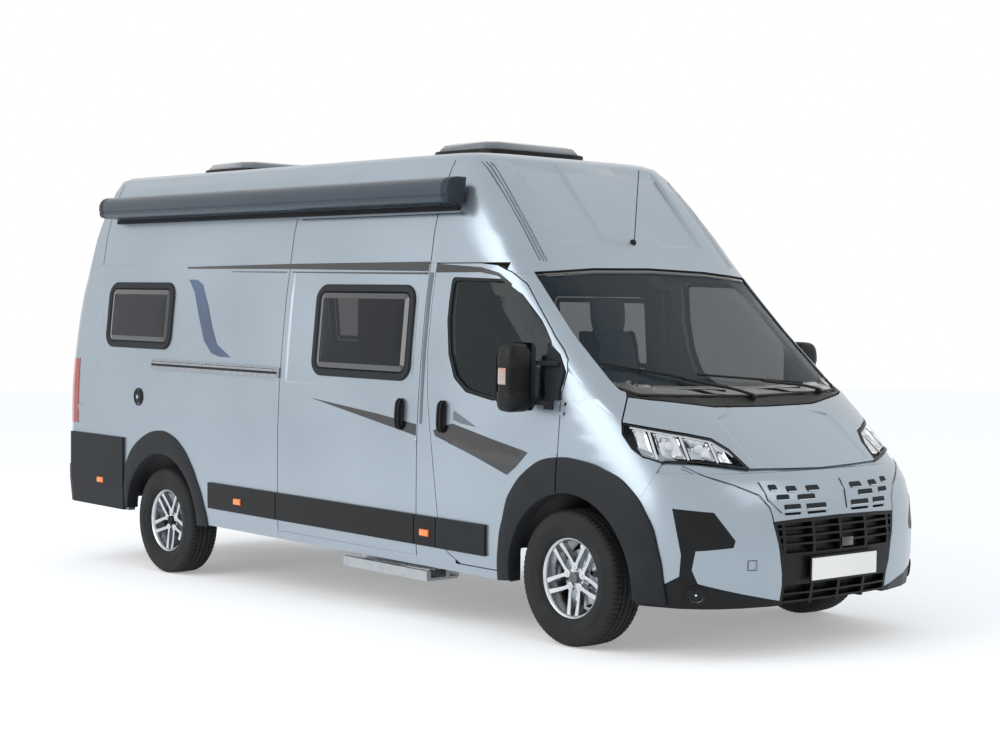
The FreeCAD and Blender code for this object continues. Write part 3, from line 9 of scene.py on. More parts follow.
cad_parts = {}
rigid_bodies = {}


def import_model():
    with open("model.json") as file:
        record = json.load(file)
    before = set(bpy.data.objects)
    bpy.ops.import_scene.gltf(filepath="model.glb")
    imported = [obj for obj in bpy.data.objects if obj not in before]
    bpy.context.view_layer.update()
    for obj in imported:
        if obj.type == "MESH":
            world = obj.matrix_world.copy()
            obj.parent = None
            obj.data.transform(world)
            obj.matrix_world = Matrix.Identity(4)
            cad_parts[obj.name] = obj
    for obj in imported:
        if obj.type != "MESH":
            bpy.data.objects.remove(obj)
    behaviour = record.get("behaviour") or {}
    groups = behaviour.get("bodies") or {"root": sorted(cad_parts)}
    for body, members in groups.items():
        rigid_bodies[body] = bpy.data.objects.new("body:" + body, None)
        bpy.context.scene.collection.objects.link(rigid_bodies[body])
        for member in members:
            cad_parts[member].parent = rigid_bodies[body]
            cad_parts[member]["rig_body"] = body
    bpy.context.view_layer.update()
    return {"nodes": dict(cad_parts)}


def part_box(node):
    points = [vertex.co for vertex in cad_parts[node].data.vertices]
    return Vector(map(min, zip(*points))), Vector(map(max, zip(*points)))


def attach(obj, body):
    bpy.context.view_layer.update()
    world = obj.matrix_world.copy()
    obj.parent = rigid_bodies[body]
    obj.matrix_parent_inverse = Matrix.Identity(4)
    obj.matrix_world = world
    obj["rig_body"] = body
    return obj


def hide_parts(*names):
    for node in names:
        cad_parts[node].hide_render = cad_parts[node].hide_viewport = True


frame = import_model()


# Painted body: steel walls, doors, wings and bonnet, with the plastic high roof and front bumper
# in the same silver metallic paint under clear coat. Each panel is welded from its CAD shape,
# its pressings are pushed in along straight lines, and its outer edges are rounded over.
rake = math.radians(1.42)
axle_drawn_at = 0.355
tyre_low, tyre_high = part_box("tyre_front_left")
front_axle = (tyre_low + tyre_high) / 2
body_place = (Matrix.Translation((front_axle.x, 0, front_axle.z)) @ Matrix.Rotation(rake, 4, "Y")
              @ Matrix.Translation((0, 0, -axle_drawn_at)))
weld_distance = 0.00005
press_edge = 0.014
smooth_below = math.radians(27)


def stand(x, y, z):
    """A place in the van's own level frame, from its front axle, as it stands nose down."""
    return body_place @ Vector((x, y, z))


def shade(red, green, blue):
    """A colour from its 0 to 255 screen values."""
    def linear(v):
        v /= 255
        return v / 12.92 if v <= 0.04045 else ((v + 0.055) / 1.055) ** 2.4
    return (linear(red), linear(green), linear(blue), 1.0)


def dial(node, settings):
    """Set a node's inputs by their names."""
    for name, value in settings.items():
        node.inputs[name].default_value = value


def wire(links, *routes):
    """Join an output of one node to an input of another, route by route."""
    for source, output, target, entry in routes:
        links.new(source.outputs[output], target.inputs[entry])


def mix_finish(name, colour, drift_colour, roughness, metallic=0.0, coat=0.0, drift=2.5,
               grain=600.0, depth=0.0, gloss_drift=0.05):
    """A finish that drifts slowly between two colours, given in screen values, over a grain."""
    finish = bpy.data.materials.new(name)
    finish.use_nodes = True
    nodes, links = finish.node_tree.nodes, finish.node_tree.links
    shader = nodes["Principled BSDF"]
    dial(shader, {"Metallic": metallic, "Coat Weight": coat, "Coat Roughness": 0.05})
    if metallic == 0 and coat == 0:
        dial(shader, {"Specular IOR Level": 0.22})
    place = nodes.new("ShaderNodeTexCoord")
    slow = nodes.new("ShaderNodeTexNoise")
    dial(slow, {"Scale": drift, "Detail": 4.0})
    tones = nodes.new("ShaderNodeValToRGB")
    for stop, position, tone in zip(tones.color_ramp.elements, (0.35, 0.68),
                                    (colour, drift_colour)):
        stop.position, stop.color = position, shade(*tone)
    fine = nodes.new("ShaderNodeTexNoise")
    dial(fine, {"Scale": grain, "Detail": 2.0})
    gloss = nodes.new("ShaderNodeMapRange")
    dial(gloss, {"From Min": 0.3, "From Max": 0.7, "To Min": roughness - gloss_drift,
                 "To Max": roughness + gloss_drift})
    wire(links, (place, "Object", slow, "Vector"), (place, "Object", fine, "Vector"),
         (slow, "Fac", tones, "Fac"), (tones, "Color", shader, "Base Color"),
         (slow, "Fac", gloss, "Value"), (gloss, "Result", shader, "Roughness"))
    if depth:
        bump = nodes.new("ShaderNodeBump")
        dial(bump, {"Strength": 0.6, "Distance": depth})
        wire(links, (fine, "Fac", bump, "Height"), (bump, "Normal", shader, "Normal"))
    return finish


def show(name, data):
    """A new object in the scene."""
    thing = bpy.data.objects.new(name, data)
    bpy.context.scene.collection.objects.link(thing)
    return thing


def as_mesh(bm, name):
    """Turn a drawn shape into a mesh."""
    mesh = bpy.data.meshes.new(name)
    bm.to_mesh(mesh)
    bm.free()
    return mesh


def round_edges(piece, width, angle=38, harden=False):
    """Round over every fold sharper than an angle in degrees."""
    bevel = piece.modifiers.new("rounded edges", "BEVEL")
    bevel.width = width
    bevel.segments = 2
    bevel.limit_method = "ANGLE"
    bevel.angle_limit = math.radians(angle)
    bevel.harden_normals = harden


def evaluated(piece):
    """The piece's mesh with its modifiers applied."""
    bpy.context.view_layer.update()
    return bpy.data.meshes.new_from_object(
        piece.evaluated_get(bpy.context.evaluated_depsgraph_get()))


def with_edges(faces):
    """The faces with their points and edges."""
    points = {v for f in faces for v in f.verts}
    edges = {e for f in faces for e in f.edges}
    return list(points) + list(edges) + faces


def cut_whole(bm, place, normal, **clearing):
    """Cut every face of a panel along a plane."""
    bmesh.ops.bisect_plane(bm, geom=bm.verts[:] + bm.edges[:] + bm.faces[:], plane_co=place,
                           plane_no=normal, **clearing)


def cut_outer(bm, place, normal):
    """Cut only the faces of a wall or door that look outwards, along a plane."""
    faces = [f for f in bm.faces if f.normal.y * f.calc_center_median().y > 0.2]
    bmesh.ops.bisect_plane(bm, geom=with_edges(faces), plane_co=place, plane_no=normal)


def cut_brow(bm, place, normal):
    """Cut only the faces of the forehead along a plane."""
    faces = [f for f in bm.faces if f.normal.x > 0.25]
    bmesh.ops.bisect_plane(bm, geom=with_edges(faces), plane_co=place, plane_no=normal)


def press_panel(bm, rear, front, low, high, depth):
    """Push the outer skin inside a rectangle inwards by depth, with a sloped edge."""
    for x in (rear, rear + press_edge, front - press_edge, front):
        cut_outer(bm, (x, 0, 0), (1, 0, 0))
    for z in (low, low + press_edge, high - press_edge, high):
        cut_outer(bm, (0, 0, z), (0, 0, 1))
    bm.normal_update()
    for point in bm.verts:
        x, y, z = point.co
        inside = min(x - rear, front - x, z - low, high - z)
        if inside > 0.9 * press_edge and point.normal.y * y > 0.2:
            point.co.y -= math.copysign(depth, y)


def raise_line(bm, height, rise, spread):
    """A soft horizontal fold that runs along the outer skin."""
    for z in (height - spread, height, height + spread / 3):
        cut_outer(bm, (0, 0, z), (0, 0, 1))
    bm.normal_update()
    for point in bm.verts:
        if abs(point.co.z - height) < 0.001 and point.normal.y * point.co.y > 0.2:
            point.co.y += math.copysign(rise, point.co.y)


def make_object(name, mesh, finishes, body="body", slot="black_plastic", rounding=0.0,
                sharp=smooth_below):
    """Show a mesh as a piece with smooth faces, crisp folds and rounded edges."""
    for face in mesh.polygons:
        face.use_smooth = True
    mesh.set_sharp_from_angle(angle=sharp)
    mesh.materials.clear()
    for finish in finishes:
        mesh.materials.append(finish)
    piece = show(name, mesh)
    if rounding:
        round_edges(piece, rounding, harden=True)
    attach(piece, body)
    return piece


# Outline of the body at each level, as the shell's mould has it: share of the body's height,
# nose, half width, start of the nose curve, roundness of the nose
body_height, nose_reach, half_width = 2.620, 0.985, 1.028
skin_levels = [
    (0.108, 0.976, 0.986, 0.305, 2.80), (0.172, 1.000, 0.996, 0.305, 2.80),
    (0.229, 1.000, 0.998, 0.305, 2.80), (0.286, 0.980, 0.999, 0.284, 2.80),
    (0.324, 0.954, 1.000, 0.223, 2.80), (0.355, 0.893, 1.000, 0.152, 2.85),
    (0.382, 0.802, 1.000, 0.102, 3.00), (0.420, 0.675, 0.998, 0.000, 3.20),
    (0.458, 0.543, 0.994, -0.102, 3.50), (0.496, 0.401, 0.989, -0.254, 4.00),
    (0.519, 0.305, 0.985, -0.355, 4.10), (0.573, 0.137, 0.975, -0.558, 4.30),
    (0.630, -0.041, 0.962, -0.761, 4.60), (0.687, -0.218, 0.948, -0.914, 5.10),
    (0.748, -0.406, 0.925, -1.015, 5.80), (0.782, -0.492, 0.914, -1.117, 6.00),
    (0.840, -0.624, 0.893, -1.269, 6.20), (0.916, -0.807, 0.842, -1.421, 6.40),
    (0.973, -0.944, 0.780, -1.523, 6.60), (1.000, -1.036, 0.744, -1.574, 6.80),
]
tail_corner = -5.20
sill_edge, roof_edge = 0.25, 2.50
widest_turn, farthest_off = math.radians(13), 0.25


def skin_section(z):
    """Nose, half width, start of the nose curve and roundness at a height."""
    share = min(max(z / body_height, skin_levels[0][0]), skin_levels[-1][0])
    for low, high in zip(skin_levels, skin_levels[1:]):
        if share <= high[0]:
            break
    t = (share - low[0]) / (high[0] - low[0])
    nose, width, start, power = [a + (b - a) * t for a, b in zip(low[1:], high[1:])]
    return nose * nose_reach, width * half_width, start * nose_reach, power


def nose_x(y, z):
    """How far forward the skin stands at a place seen from the front."""
    nose, width, start, power = skin_section(z)
    return start + (nose - start) * max(1 - (abs(y) / width) ** power, 0.0) ** (1 / power)


def side_y(x, z):
    """How far out the skin stands at a place seen from the side."""
    nose, width, start, power = skin_section(z)
    if x <= start:
        return width
    return width * max(1 - ((x - start) / (nose - start)) ** power, 0.0) ** (1 / power)


def skin_depth(x, y, z):
    nose, width, start, power = skin_section(z)
    ahead = max(x - start, 0.0) / (nose - start)
    return ahead ** power + (abs(y) / width) ** power - 1


def skin_normal(place):
    """Outward direction of the smooth skin at a place."""
    x, y, z = place
    near, tall = 0.004, 0.055
    slope = Vector((
        (skin_depth(x + near, y, z) - skin_depth(x - near, y, z)) / (2 * near),
        (skin_depth(x, y + near, z) - skin_depth(x, y - near, z)) / (2 * near),
        (skin_depth(x, y, z + tall) - skin_depth(x, y, z - tall)) / (2 * tall)))
    return slope.normalized()


def shade_as_skin(mesh):
    """Round the parts, then let the outer faces shade as the smooth skin they lie on."""
    for face in mesh.polygons:
        face.use_smooth = True
    mesh.set_sharp_from_angle(angle=smooth_below)
    normals = [corner.vector.copy() for corner in mesh.corner_normals]
    for face in mesh.polygons:
        x, y, z = face.center
        if x < tail_corner or z > roof_edge or z < sill_edge:
            continue
        if face.normal.dot(skin_normal(face.center)) < math.cos(widest_turn):
            continue
        if abs(skin_depth(x, y, z)) > farthest_off:
            continue
        for loop in face.loop_indices:
            normals[loop] = skin_normal(mesh.vertices[mesh.loops[loop].vertex_index].co)
    turn = body_place.to_3x3()
    mesh.transform(body_place)
    mesh.normals_split_custom_set([turn @ n for n in normals])


def make_painted(name, bm, finish, body, rounding=0.002):
    """A panel with rounded edges that shades as the smooth body."""
    mesh = as_mesh(bm, name)
    blank = show(name + "_blank", mesh)
    round_edges(blank, rounding)
    finished = evaluated(blank)
    bpy.data.objects.remove(blank)
    bpy.data.meshes.remove(mesh)
    shade_as_skin(finished)
    finished.materials.clear()
    finished.materials.append(finish)
    piece = show(name, finished)
    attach(piece, body)
    return piece


def welded_panel(node):
    """The node's own shape in the van's level frame, with its split faces joined."""
    bm = bmesh.new()
    bm.from_mesh(frame["nodes"][node].data)
    bm.transform(body_place.inverted())
    bmesh.ops.remove_doubles(bm, verts=bm.verts, dist=weld_distance)
    bmesh.ops.dissolve_limit(bm, angle_limit=math.radians(0.4), verts=bm.verts, edges=bm.edges)
    bm.normal_update()
    return bm


def close_panel(bm, name):
    """Turn the drawn panel into a mesh that stands with the van."""
    bm.transform(body_place)
    return as_mesh(bm, name)


def body_of_node(node):
    return frame["nodes"][node]["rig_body"]


silver_paint = mix_finish("silver_metallic_paint", (152, 164, 174), (158, 170, 180),
                          0.32, metallic=0.8, coat=0.45, drift=1.2, grain=2200.0, depth=0.00004)
wall_fold = (0.996, 0.004, 0.05)
window_recess = 0.007
recess_low, recess_high = 1.262, 1.955
rear_recess = (-4.97, -2.70)
slider_recess = (-2.585, -1.31)


def press_walls(bm, node):
    """The recesses round the side windows and the fold along the wall."""
    if node != "side_wall_right":
        press_panel(bm, *slider_recess, recess_low, recess_high, window_recess)
    if node != "sliding_door":
        press_panel(bm, *rear_recess, recess_low, recess_high, window_recess)
    raise_line(bm, *wall_fold)


def press_brow(bm):
    """The two long recesses in the forehead of the high roof."""
    inner, outer, low, high, depth, edge = 0.215, 0.583, 2.125, 2.60, 0.012, 0.02
    for side in (-1, 1):
        for y in (inner, inner + edge, outer - edge, outer):
            cut_brow(bm, (0, side * y, 0), (0, 1, 0))
    for z in (low, low + edge, high - edge, high):
        cut_brow(bm, (0, 0, z), (0, 0, 1))
    bm.normal_update()
    for point in bm.verts:
        x, y, z = point.co
        inside = min(abs(y) - inner, outer - abs(y), z - low, high - z)
        if inside > 0.9 * edge and point.normal.x > 0.3 and x > -1.25:
            point.co -= point.normal * depth


def press_bonnet(bm):
    """The flat middle of the bonnet, sunk between its two shoulders."""
    half, high, edge, depth = 0.47, 1.235, 0.03, 0.007
    for y in (-half, edge - half, half - edge, half):
        cut_whole(bm, (0, y, 0), (0, 1, 0))
    for z in (high - edge, high):
        cut_whole(bm, (0, 0, z), (0, 0, 1))
    bm.normal_update()
    for point in bm.verts:
        x, y, z = point.co
        inside = min(half - abs(y), high - z)
        if inside > 0.9 * edge and point.normal.z > 0.3 and z > 0.98:
            point.co -= point.normal * depth


both_sides = (("left", 1), ("right", -1))
door_seam_x = -0.065
hinge_heights = (0.900, 1.238)
hinge_half = 0.043
hinge_rear, hinge_front, hinge_proud = -0.14, 0.0, 0.0006


def trim_hinges(bm):
    """Take off what the cab door hinges show outside the skin; a closing plate covers it."""
    proud = []
    for face in bm.faces:
        x, y, z = face.calc_center_median()
        near = any(abs(z - height) < hinge_half for height in hinge_heights)
        if near and hinge_rear < x < hinge_front and abs(y) > side_y(x, z) + hinge_proud:
            proud.append(face)
    bmesh.ops.delete(bm, geom=proud, context="FACES")


def make_hinge_plates(side, sign):
    """The skin's own thin steel, carried across the hinge pockets of the door and wing."""
    for number, height in enumerate(hinge_heights):
        for body, rear, front in ((f"front_door_{side}", -0.125, door_seam_x - 0.003),
                                  ("body", door_seam_x + 0.003, -0.040)):
            rows = []
            for lift in (-0.006, 0.0009):
                low, high = height - hinge_half, height + hinge_half
                rows.append([Vector((x, sign * (side_y(x, z) + lift), z))
                             for x, z in ((rear, low), (front, low), (front, high),
                                          (rear, high))])
            bm = bmesh.new()
            low, high = [[bm.verts.new(p) for p in row] for row in rows]
            bm.faces.new(high)
            for i in range(4):
                bm.faces.new((low[i], low[(i + 1) % 4], high[(i + 1) % 4], high[i]))
            bmesh.ops.recalc_face_normals(bm, faces=bm.faces)
            make_painted(f"hinge_plate_{side}_{number}_{body}", bm, silver_paint, body,
                         rounding=0.0006)


painted_nodes = ["side_wall_left", "side_wall_right", "sliding_door", "door_frame_left",
                 "door_frame_right", "cab_pillars", "front_wings", "bonnet", "front_bumper",
                 "front_door_left", "front_door_right", "rear_door_left", "rear_door_right",
                 "roof_panel"]
for node in painted_nodes:
    panel = welded_panel(node)
    if node in ("side_wall_left", "side_wall_right", "sliding_door"):
        press_walls(panel, node)
    elif node in ("front_door_left", "front_door_right"):
        raise_line(panel, *wall_fold)
    elif node == "roof_panel":
        press_brow(panel)
    elif node == "bonnet":
        press_bonnet(panel)
    if node in ("front_door_left", "front_door_right", "front_wings"):
        trim_hinges(panel)
    piece = make_painted(node + "_painted", panel, silver_paint, body_of_node(node))
    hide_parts(node)


for side, sign in both_sides:
    make_hinge_plates(side, sign)


# Black plastic parts: rub strips, rear bumper, lower front corners, cowl, grille and wheel liners.
# They are moulded in dark grey, finely grained plastic, clipped over the panels. Their CAD shapes
# are welded and their edges rounded wider than the steel's.
dark_plastic = mix_finish("grained_dark_plastic", (24, 27, 31), (32, 35, 40), 0.55,
                          drift=6.0, grain=900.0, depth=0.0003)
black_plastic = mix_finish("plain_black_plastic", (13, 14, 16), (18, 19, 21), 0.4,
                           drift=9.0, grain=1300.0, depth=0.0001)
plastic_rounding = 0.0035
plastic_nodes = {
    "side_strips": (black_plastic, "grey_plastic"),
    "rear_bumper": (dark_plastic, "grey_plastic"),
    "bumper_corners": (black_plastic, "black_plastic"),
    "cowl": (black_plastic, "black_plastic"),
    "grille": (black_plastic, "black_plastic"),
    "wheel_liners": (black_plastic, "black_plastic"),
}


def recast(node, name, finish, slot, rounding=0.0):
    """Show a CAD node's own shape, welded, in a new finish and in the node's place."""
    piece = make_object(name, close_panel(welded_panel(node), node), [finish],
                        body_of_node(node), slot, rounding=rounding)
    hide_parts(node)


for node, (finish, slot) in plastic_nodes.items():
    recast(node, node + "_moulded", finish, slot, plastic_rounding)


# Window glass: laminated windscreen and tempered door and rear panes, lightly tinted, and the
# dark acrylic panes of the living space. Each keeps its CAD sheet; the printed black edge and
# the rubber seal are strips that follow the sheet's own boundary.
def tint_glass(name, colour, alpha, roughness=0.03):
    """See-through glass of one tint, with a faint drift in its gloss."""
    finish = mix_finish(name, colour, colour, roughness, coat=1.0, gloss_drift=0.01)
    dial(finish.node_tree.nodes["Principled BSDF"],
         {"Alpha": alpha, "Coat Weight": 0.0, "Specular IOR Level": 0.34})
    return finish


windscreen_glass = tint_glass("windscreen_glass", (24, 44, 54), 0.34)
door_glass = tint_glass("door_glass", (16, 30, 34), 0.56)
acrylic_glass = tint_glass("dark_acrylic", (18, 24, 31), 0.76)
printed_edge = mix_finish("printed_black_edge", (12, 13, 15), (16, 17, 19), 0.12,
                          coat=1.0)
seal_rubber = mix_finish("seal_rubber", (20, 21, 22), (28, 29, 30), 0.6, drift=20.0,
                         grain=1500.0, depth=0.0001)


glass_middle = Vector((front_axle.x - 2.0, 0, 1.5))
facing_out = 0.35


def sheet_rim(node):
    """Closed loops of points round the outer face of each glass sheet, with the face normal at
    each, and the sheet itself to find places on."""
    bm = bmesh.new()
    bm.from_mesh(frame["nodes"][node].data)
    bmesh.ops.remove_doubles(bm, verts=bm.verts, dist=weld_distance)
    bm.normal_update()
    outer = {f for f in bm.faces
             if f.normal.dot((f.calc_center_median() - glass_middle).normalized()) > facing_out}
    rim = {}
    for edge in bm.edges:
        own = [f for f in edge.link_faces if f in outer]
        if len(own) == 1 and len(edge.link_faces) == 2:
            a, b = edge.verts
            rim.setdefault(a, []).append((b, own[0].normal.copy()))
            rim.setdefault(b, []).append((a, own[0].normal.copy()))
    loops, used = [], set()
    for start in rim:
        if start in used:
            continue
        loop, here = [], start
        while here not in used:
            used.add(here)
            loop.append((here.co.copy(), rim[here][0][1]))
            onward = [v for v, _ in rim[here] if v not in used]
            if not onward:
                break
            here = onward[0]
        if len(loop) > 8:
            loops.append(loop)
    sheet = BVHTree.FromBMesh(bm)
    bm.free()
    return loops, sheet


def even_loop(loop, step=0.012, rounds=10):
    """The same loop with points every step, its corners eased."""
    points, normals = [], []
    for (a, normal), (b, _) in zip(loop, loop[1:] + loop[:1]):
        count = max(1, round((b - a).length / step))
        points += [a.lerp(b, i / count) for i in range(count)]
        normals += [normal] * count
    for _ in range(rounds):
        points = [(points[i - 1] + points[i] * 2 + points[(i + 1) % len(points)]) / 4
                  for i in range(len(points))]
    return list(zip(points, normals))


def mesh_of(name, points, faces):
    """A mesh from its points and its faces' point numbers."""
    mesh = bpy.data.meshes.new(name)
    mesh.from_pydata(points, [], faces)
    mesh.update()
    return mesh


def thicken(piece, thickness, offset=0.0):
    """Give a sheet its thickness, to both sides unless told."""
    solid = piece.modifiers.new("thickness", "SOLIDIFY")
    solid.thickness = thickness
    solid.offset = offset


def rim_strip(name, node, width_at, lift, thickness, finish, body="body"):
    """A strip laid on a glass sheet along its boundary, width_at(place) wide."""
    loops, sheet = sheet_rim(node)
    steps = 3
    points, faces = [], []
    for loop in loops:
        loop = even_loop(loop)
        middle = sum((p for p, _ in loop), Vector()) / len(loop)
        first, count = len(points), len(loop)
        for i, (p, normal) in enumerate(loop):
            along = loop[(i + 1) % count][0] - loop[i - 1][0]
            inward = normal.cross(along).normalized()
            if inward.dot(middle - p) < 0:
                inward = -inward
            for step in range(steps + 1):
                there = p + inward * (width_at(p) * step / steps)
                near, face_normal, _, _ = sheet.find_nearest(there)
                out = face_normal if face_normal.dot(normal) > 0 else -face_normal
                points.append(near + out * lift)
        for i in range(count):
            for step in range(steps):
                a = first + i * (steps + 1) + step
                b = first + ((i + 1) % count) * (steps + 1) + step
                faces.append((a, b, b + 1, a + 1))
    strip = make_object(name, mesh_of(name, points, faces), [finish], body)
    thicken(strip, thickness)


for node, finish, slot in (
        ("windscreen", windscreen_glass, "windscreen_glass"),
        ("door_glass_left", door_glass, "tinted_glass"),
        ("door_glass_right", door_glass, "tinted_glass"),
        ("rear_glass_left", acrylic_glass, "tinted_glass"),
        ("rear_glass_right", acrylic_glass, "tinted_glass")):
    recast(node, node + "_pane", finish, slot)


def windscreen_edge_width(place):
    """The printed edge is broad along the bottom, where the wipers park."""
    height = place.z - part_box("windscreen")[0].z
    if height < 0.11:
        return 0.10
    return 0.045 if abs(place.y) < 0.8 else 0.035


rim_strip("windscreen_printed_edge", "windscreen", windscreen_edge_width, 0.0016, 0.001,
          printed_edge)
rim_strip("windscreen_seal", "windscreen", lambda place: 0.012, 0.004, 0.012, seal_rubber)
for side in ("left", "right"):
    rim_strip(f"door_glass_seal_{side}", f"door_glass_{side}", lambda place: 0.020, 0.006, 0.012,
              seal_rubber, f"front_door_{side}")
    rim_strip(f"rear_glass_seal_{side}", f"rear_glass_{side}", lambda place: 0.028, 0.008, 0.014,
              seal_rubber, f"rear_door_{side}")


# Side windows of the living space: a grey-black moulded frame screwed over the wall's cut, and a
# slightly domed double acrylic pane hinged at its top. The frame is a ring of four rounded
# outlines on the wall, and the pane a dished grid inside it.
middle_window = (-2.290, -1.370, 1.348, 1.856)
rear_window = (-4.830, -4.000, 1.450, 1.862)
frame_corner = 0.072
straight_x = -3.0


def surface_of(node):
    """The node's surface in the level frame, to find places on."""
    panel = welded_panel(node)
    surface = BVHTree.FromBMesh(panel)
    panel.free()
    return surface


left_wall = surface_of("side_wall_left")


def wall_y(z):
    """How far out the straight part of the wall stands at a height."""
    hit = left_wall.ray_cast(Vector((straight_x, 2, z)), Vector((0, -1, 0)))[0]
    return hit.y


def rounded_outline(low_a, high_a, low_b, high_b, radius, steps):
    """Points (a, b) round a rectangle with rounded corners."""
    points = []
    low_a, high_a = low_a + radius, high_a - radius
    low_b, high_b = low_b + radius, high_b - radius
    for a, b, first in ((high_a, high_b, 0), (low_a, high_b, 90), (low_a, low_b, 180),
                        (high_a, low_b, 270)):
        for step in range(steps + 1):
            turn = math.radians(first + 90 * step / steps)
            points.append((a + radius * math.cos(turn), b + radius * math.sin(turn)))
    return points


def ring_mesh(name, rows, close_rows=False):
    """A mesh of quads between rows of the same number of points, each row a closed loop."""
    count = len(rows[0])
    points = [p for row in rows for p in row]
    faces = []
    pairs = list(zip(range(len(rows) - 1), range(1, len(rows))))
    if close_rows:
        pairs.append((len(rows) - 1, 0))
    for lower, upper in pairs:
        for i in range(count):
            j = (i + 1) % count
            faces.append((lower * count + i, lower * count + j, upper * count + j,
                          upper * count + i))
    return mesh_of(name, points, faces)


def cap_rows(mesh, *caps, turn_out=True):
    """Close a ring mesh with faces over the given runs of its points."""
    bm = bmesh.new()
    bm.from_mesh(mesh)
    bm.verts.ensure_lookup_table()
    for first, count in caps:
        bm.faces.new(bm.verts[first:first + count])
    if turn_out:
        bmesh.ops.recalc_face_normals(bm, faces=bm.faces)
    bm.to_mesh(mesh)
    bm.free()


def window_rows(window, side, profile):
    """A window's outline at each (grow, lift) of a profile, on the wall of one side."""
    rear, front, low, high = window
    rows = []
    for grow, lift in profile:
        outline = rounded_outline(rear - grow, front + grow, low - grow, high + grow,
                                  max(frame_corner + grow, 0.01), 8)
        rows.append([stand(x, side * (wall_y(z) - window_recess + lift), z) for x, z in outline])
    return rows


def make_side_window(name, window, side):
    """Frame and pane of one window; side is 1 for left and -1 for right."""
    rows = window_rows(window, side, [(0.024, -0.010), (0.024, 0.006), (0.018, 0.013),
                                      (-0.014, 0.013), (-0.022, 0.004), (-0.022, -0.018)])
    make_object(name + "_frame", ring_mesh(name, rows, close_rows=True), [dark_plastic])
    rows = window_rows(window, side, [(-0.020, -0.004), (-0.028, 0.006), (-0.060, 0.012),
                                      (-0.10, 0.015), (-0.16, 0.017)])
    pane = ring_mesh(name + "_pane", rows)
    count = len(rows[0])
    cap_rows(pane, (count * (len(rows) - 1), count), turn_out=False)
    dome = make_object(name + "_pane", pane, [acrylic_glass], slot="tinted_glass")
    border = [[p + Vector((0, side * 0.0015, 0)) for p in row] for row in rows[1:3]]
    make_object(name + "_border", ring_mesh(name + "_border", border), [printed_edge])
    return dome


panes = [
    make_side_window(f"{kind}_window_{side}", window, sign)
    for kind, window in (("rear", rear_window), ("middle", middle_window))
    for side, sign in both_sides
]
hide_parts("side_windows")


# Graphics and seams on the panels: film stripes in black, grey and blue, and the thin shut lines
# of the roof and front. Each is an outline drawn on the side or front, cut into a fine grid and
# laid on the painted skin.
stripe_black = mix_finish("black_film", (13, 14, 17), (17, 18, 21), 0.25, coat=0.6)
# Grey film for stripes and the gutter bar; its thin lines on the brow are painted shade standing
# for grooves.
grey_film_and_groove_shade = mix_finish("grey_film_and_brow_groove_shade", (84, 94, 106), (92, 101, 112), 0.3, metallic=0.3,
                         coat=0.6)
stripe_blue = mix_finish("blue_film", (40, 66, 98), (50, 84, 120), 0.22, metallic=0.5,
                         coat=0.8)
# Dark grey for shut lines, joints, handle cups and the rail slot; in the bumper slots it is
# painted shade, the dark inside each opening.
joint_and_shade_dark = mix_finish("shut_line_shadow", (30, 34, 38), (36, 40, 44), 0.7)
grid = 0.045
bpy.context.view_layer.update()
seen_surface = bpy.context.evaluated_depsgraph_get()
skin = {}
for body in ("body", "front_door_left", "front_door_right"):
    joined = bmesh.new()
    for node in painted_nodes:
        if body_of_node(node) == body:
            part = bmesh.new()
            part.from_object(bpy.data.objects[node + "_painted"], seen_surface)
            part.transform(body_place.inverted())
            spare = as_mesh(part, "skin_probe")
            joined.from_mesh(spare)
            bpy.data.meshes.remove(spare)
    skin[body] = BVHTree.FromBMesh(joined)
    joined.free()


def from_side(side, body):
    """How to lay a point (x, z) on the side of the van; side is 1 for left, -1 for right."""
    def lay(x, z, lift):
        hit, normal, _, _ = skin[body].ray_cast(Vector((x, side * 2, z)), Vector((0, -side, 0)))
        if hit is None or abs(hit.y) < 0.5:
            hit, normal = Vector((x, side * wall_y(min(z, 2.0)), z)), Vector((0, side, 0))
        if normal.y * side < 0:
            normal = -normal
        return body_place @ (hit + normal * lift)
    return lay


def lay_patch(name, outline, lay, finish, body="body", slot="black_plastic", lift=0.0016,
              thickness=0.0, rounding=0.0):
    """A film or plate with this outline, laid on the skin in a fine grid."""
    bm = bmesh.new()
    bm.faces.new([bm.verts.new((a, b, 0)) for a, b in outline])
    for axis in (0, 1):
        low = min(p[axis] for p in outline)
        high = max(p[axis] for p in outline)
        normal = Vector((1, 0, 0)) if axis == 0 else Vector((0, 1, 0))
        for k in range(1, int((high - low) / grid) + 1):
            cut_whole(bm, normal * (low + k * grid), normal)
    bmesh.ops.triangulate(bm, faces=bm.faces)
    for point in bm.verts:
        point.co = lay(point.co.x, point.co.y, lift)
    bm.normal_update()
    piece = make_object(name, as_mesh(bm, name), [finish], body, slot)
    if thickness:
        thicken(piece, thickness)
    if rounding:
        round_edges(piece, rounding, angle=30)


def sheet_rows(rows):
    """An open sheet of quads between rows of the same number of points, with its rows."""
    bm = bmesh.new()
    made = [[bm.verts.new(point) for point in row] for row in rows]
    for low, high in zip(made, made[1:]):
        for i in range(len(low) - 1):
            bm.faces.new((low[i], low[i + 1], high[i + 1], high[i]))
    return bm, made


def sheet_mesh(name, rows):
    """The same sheet as a mesh."""
    return as_mesh(sheet_rows(rows)[0], name)


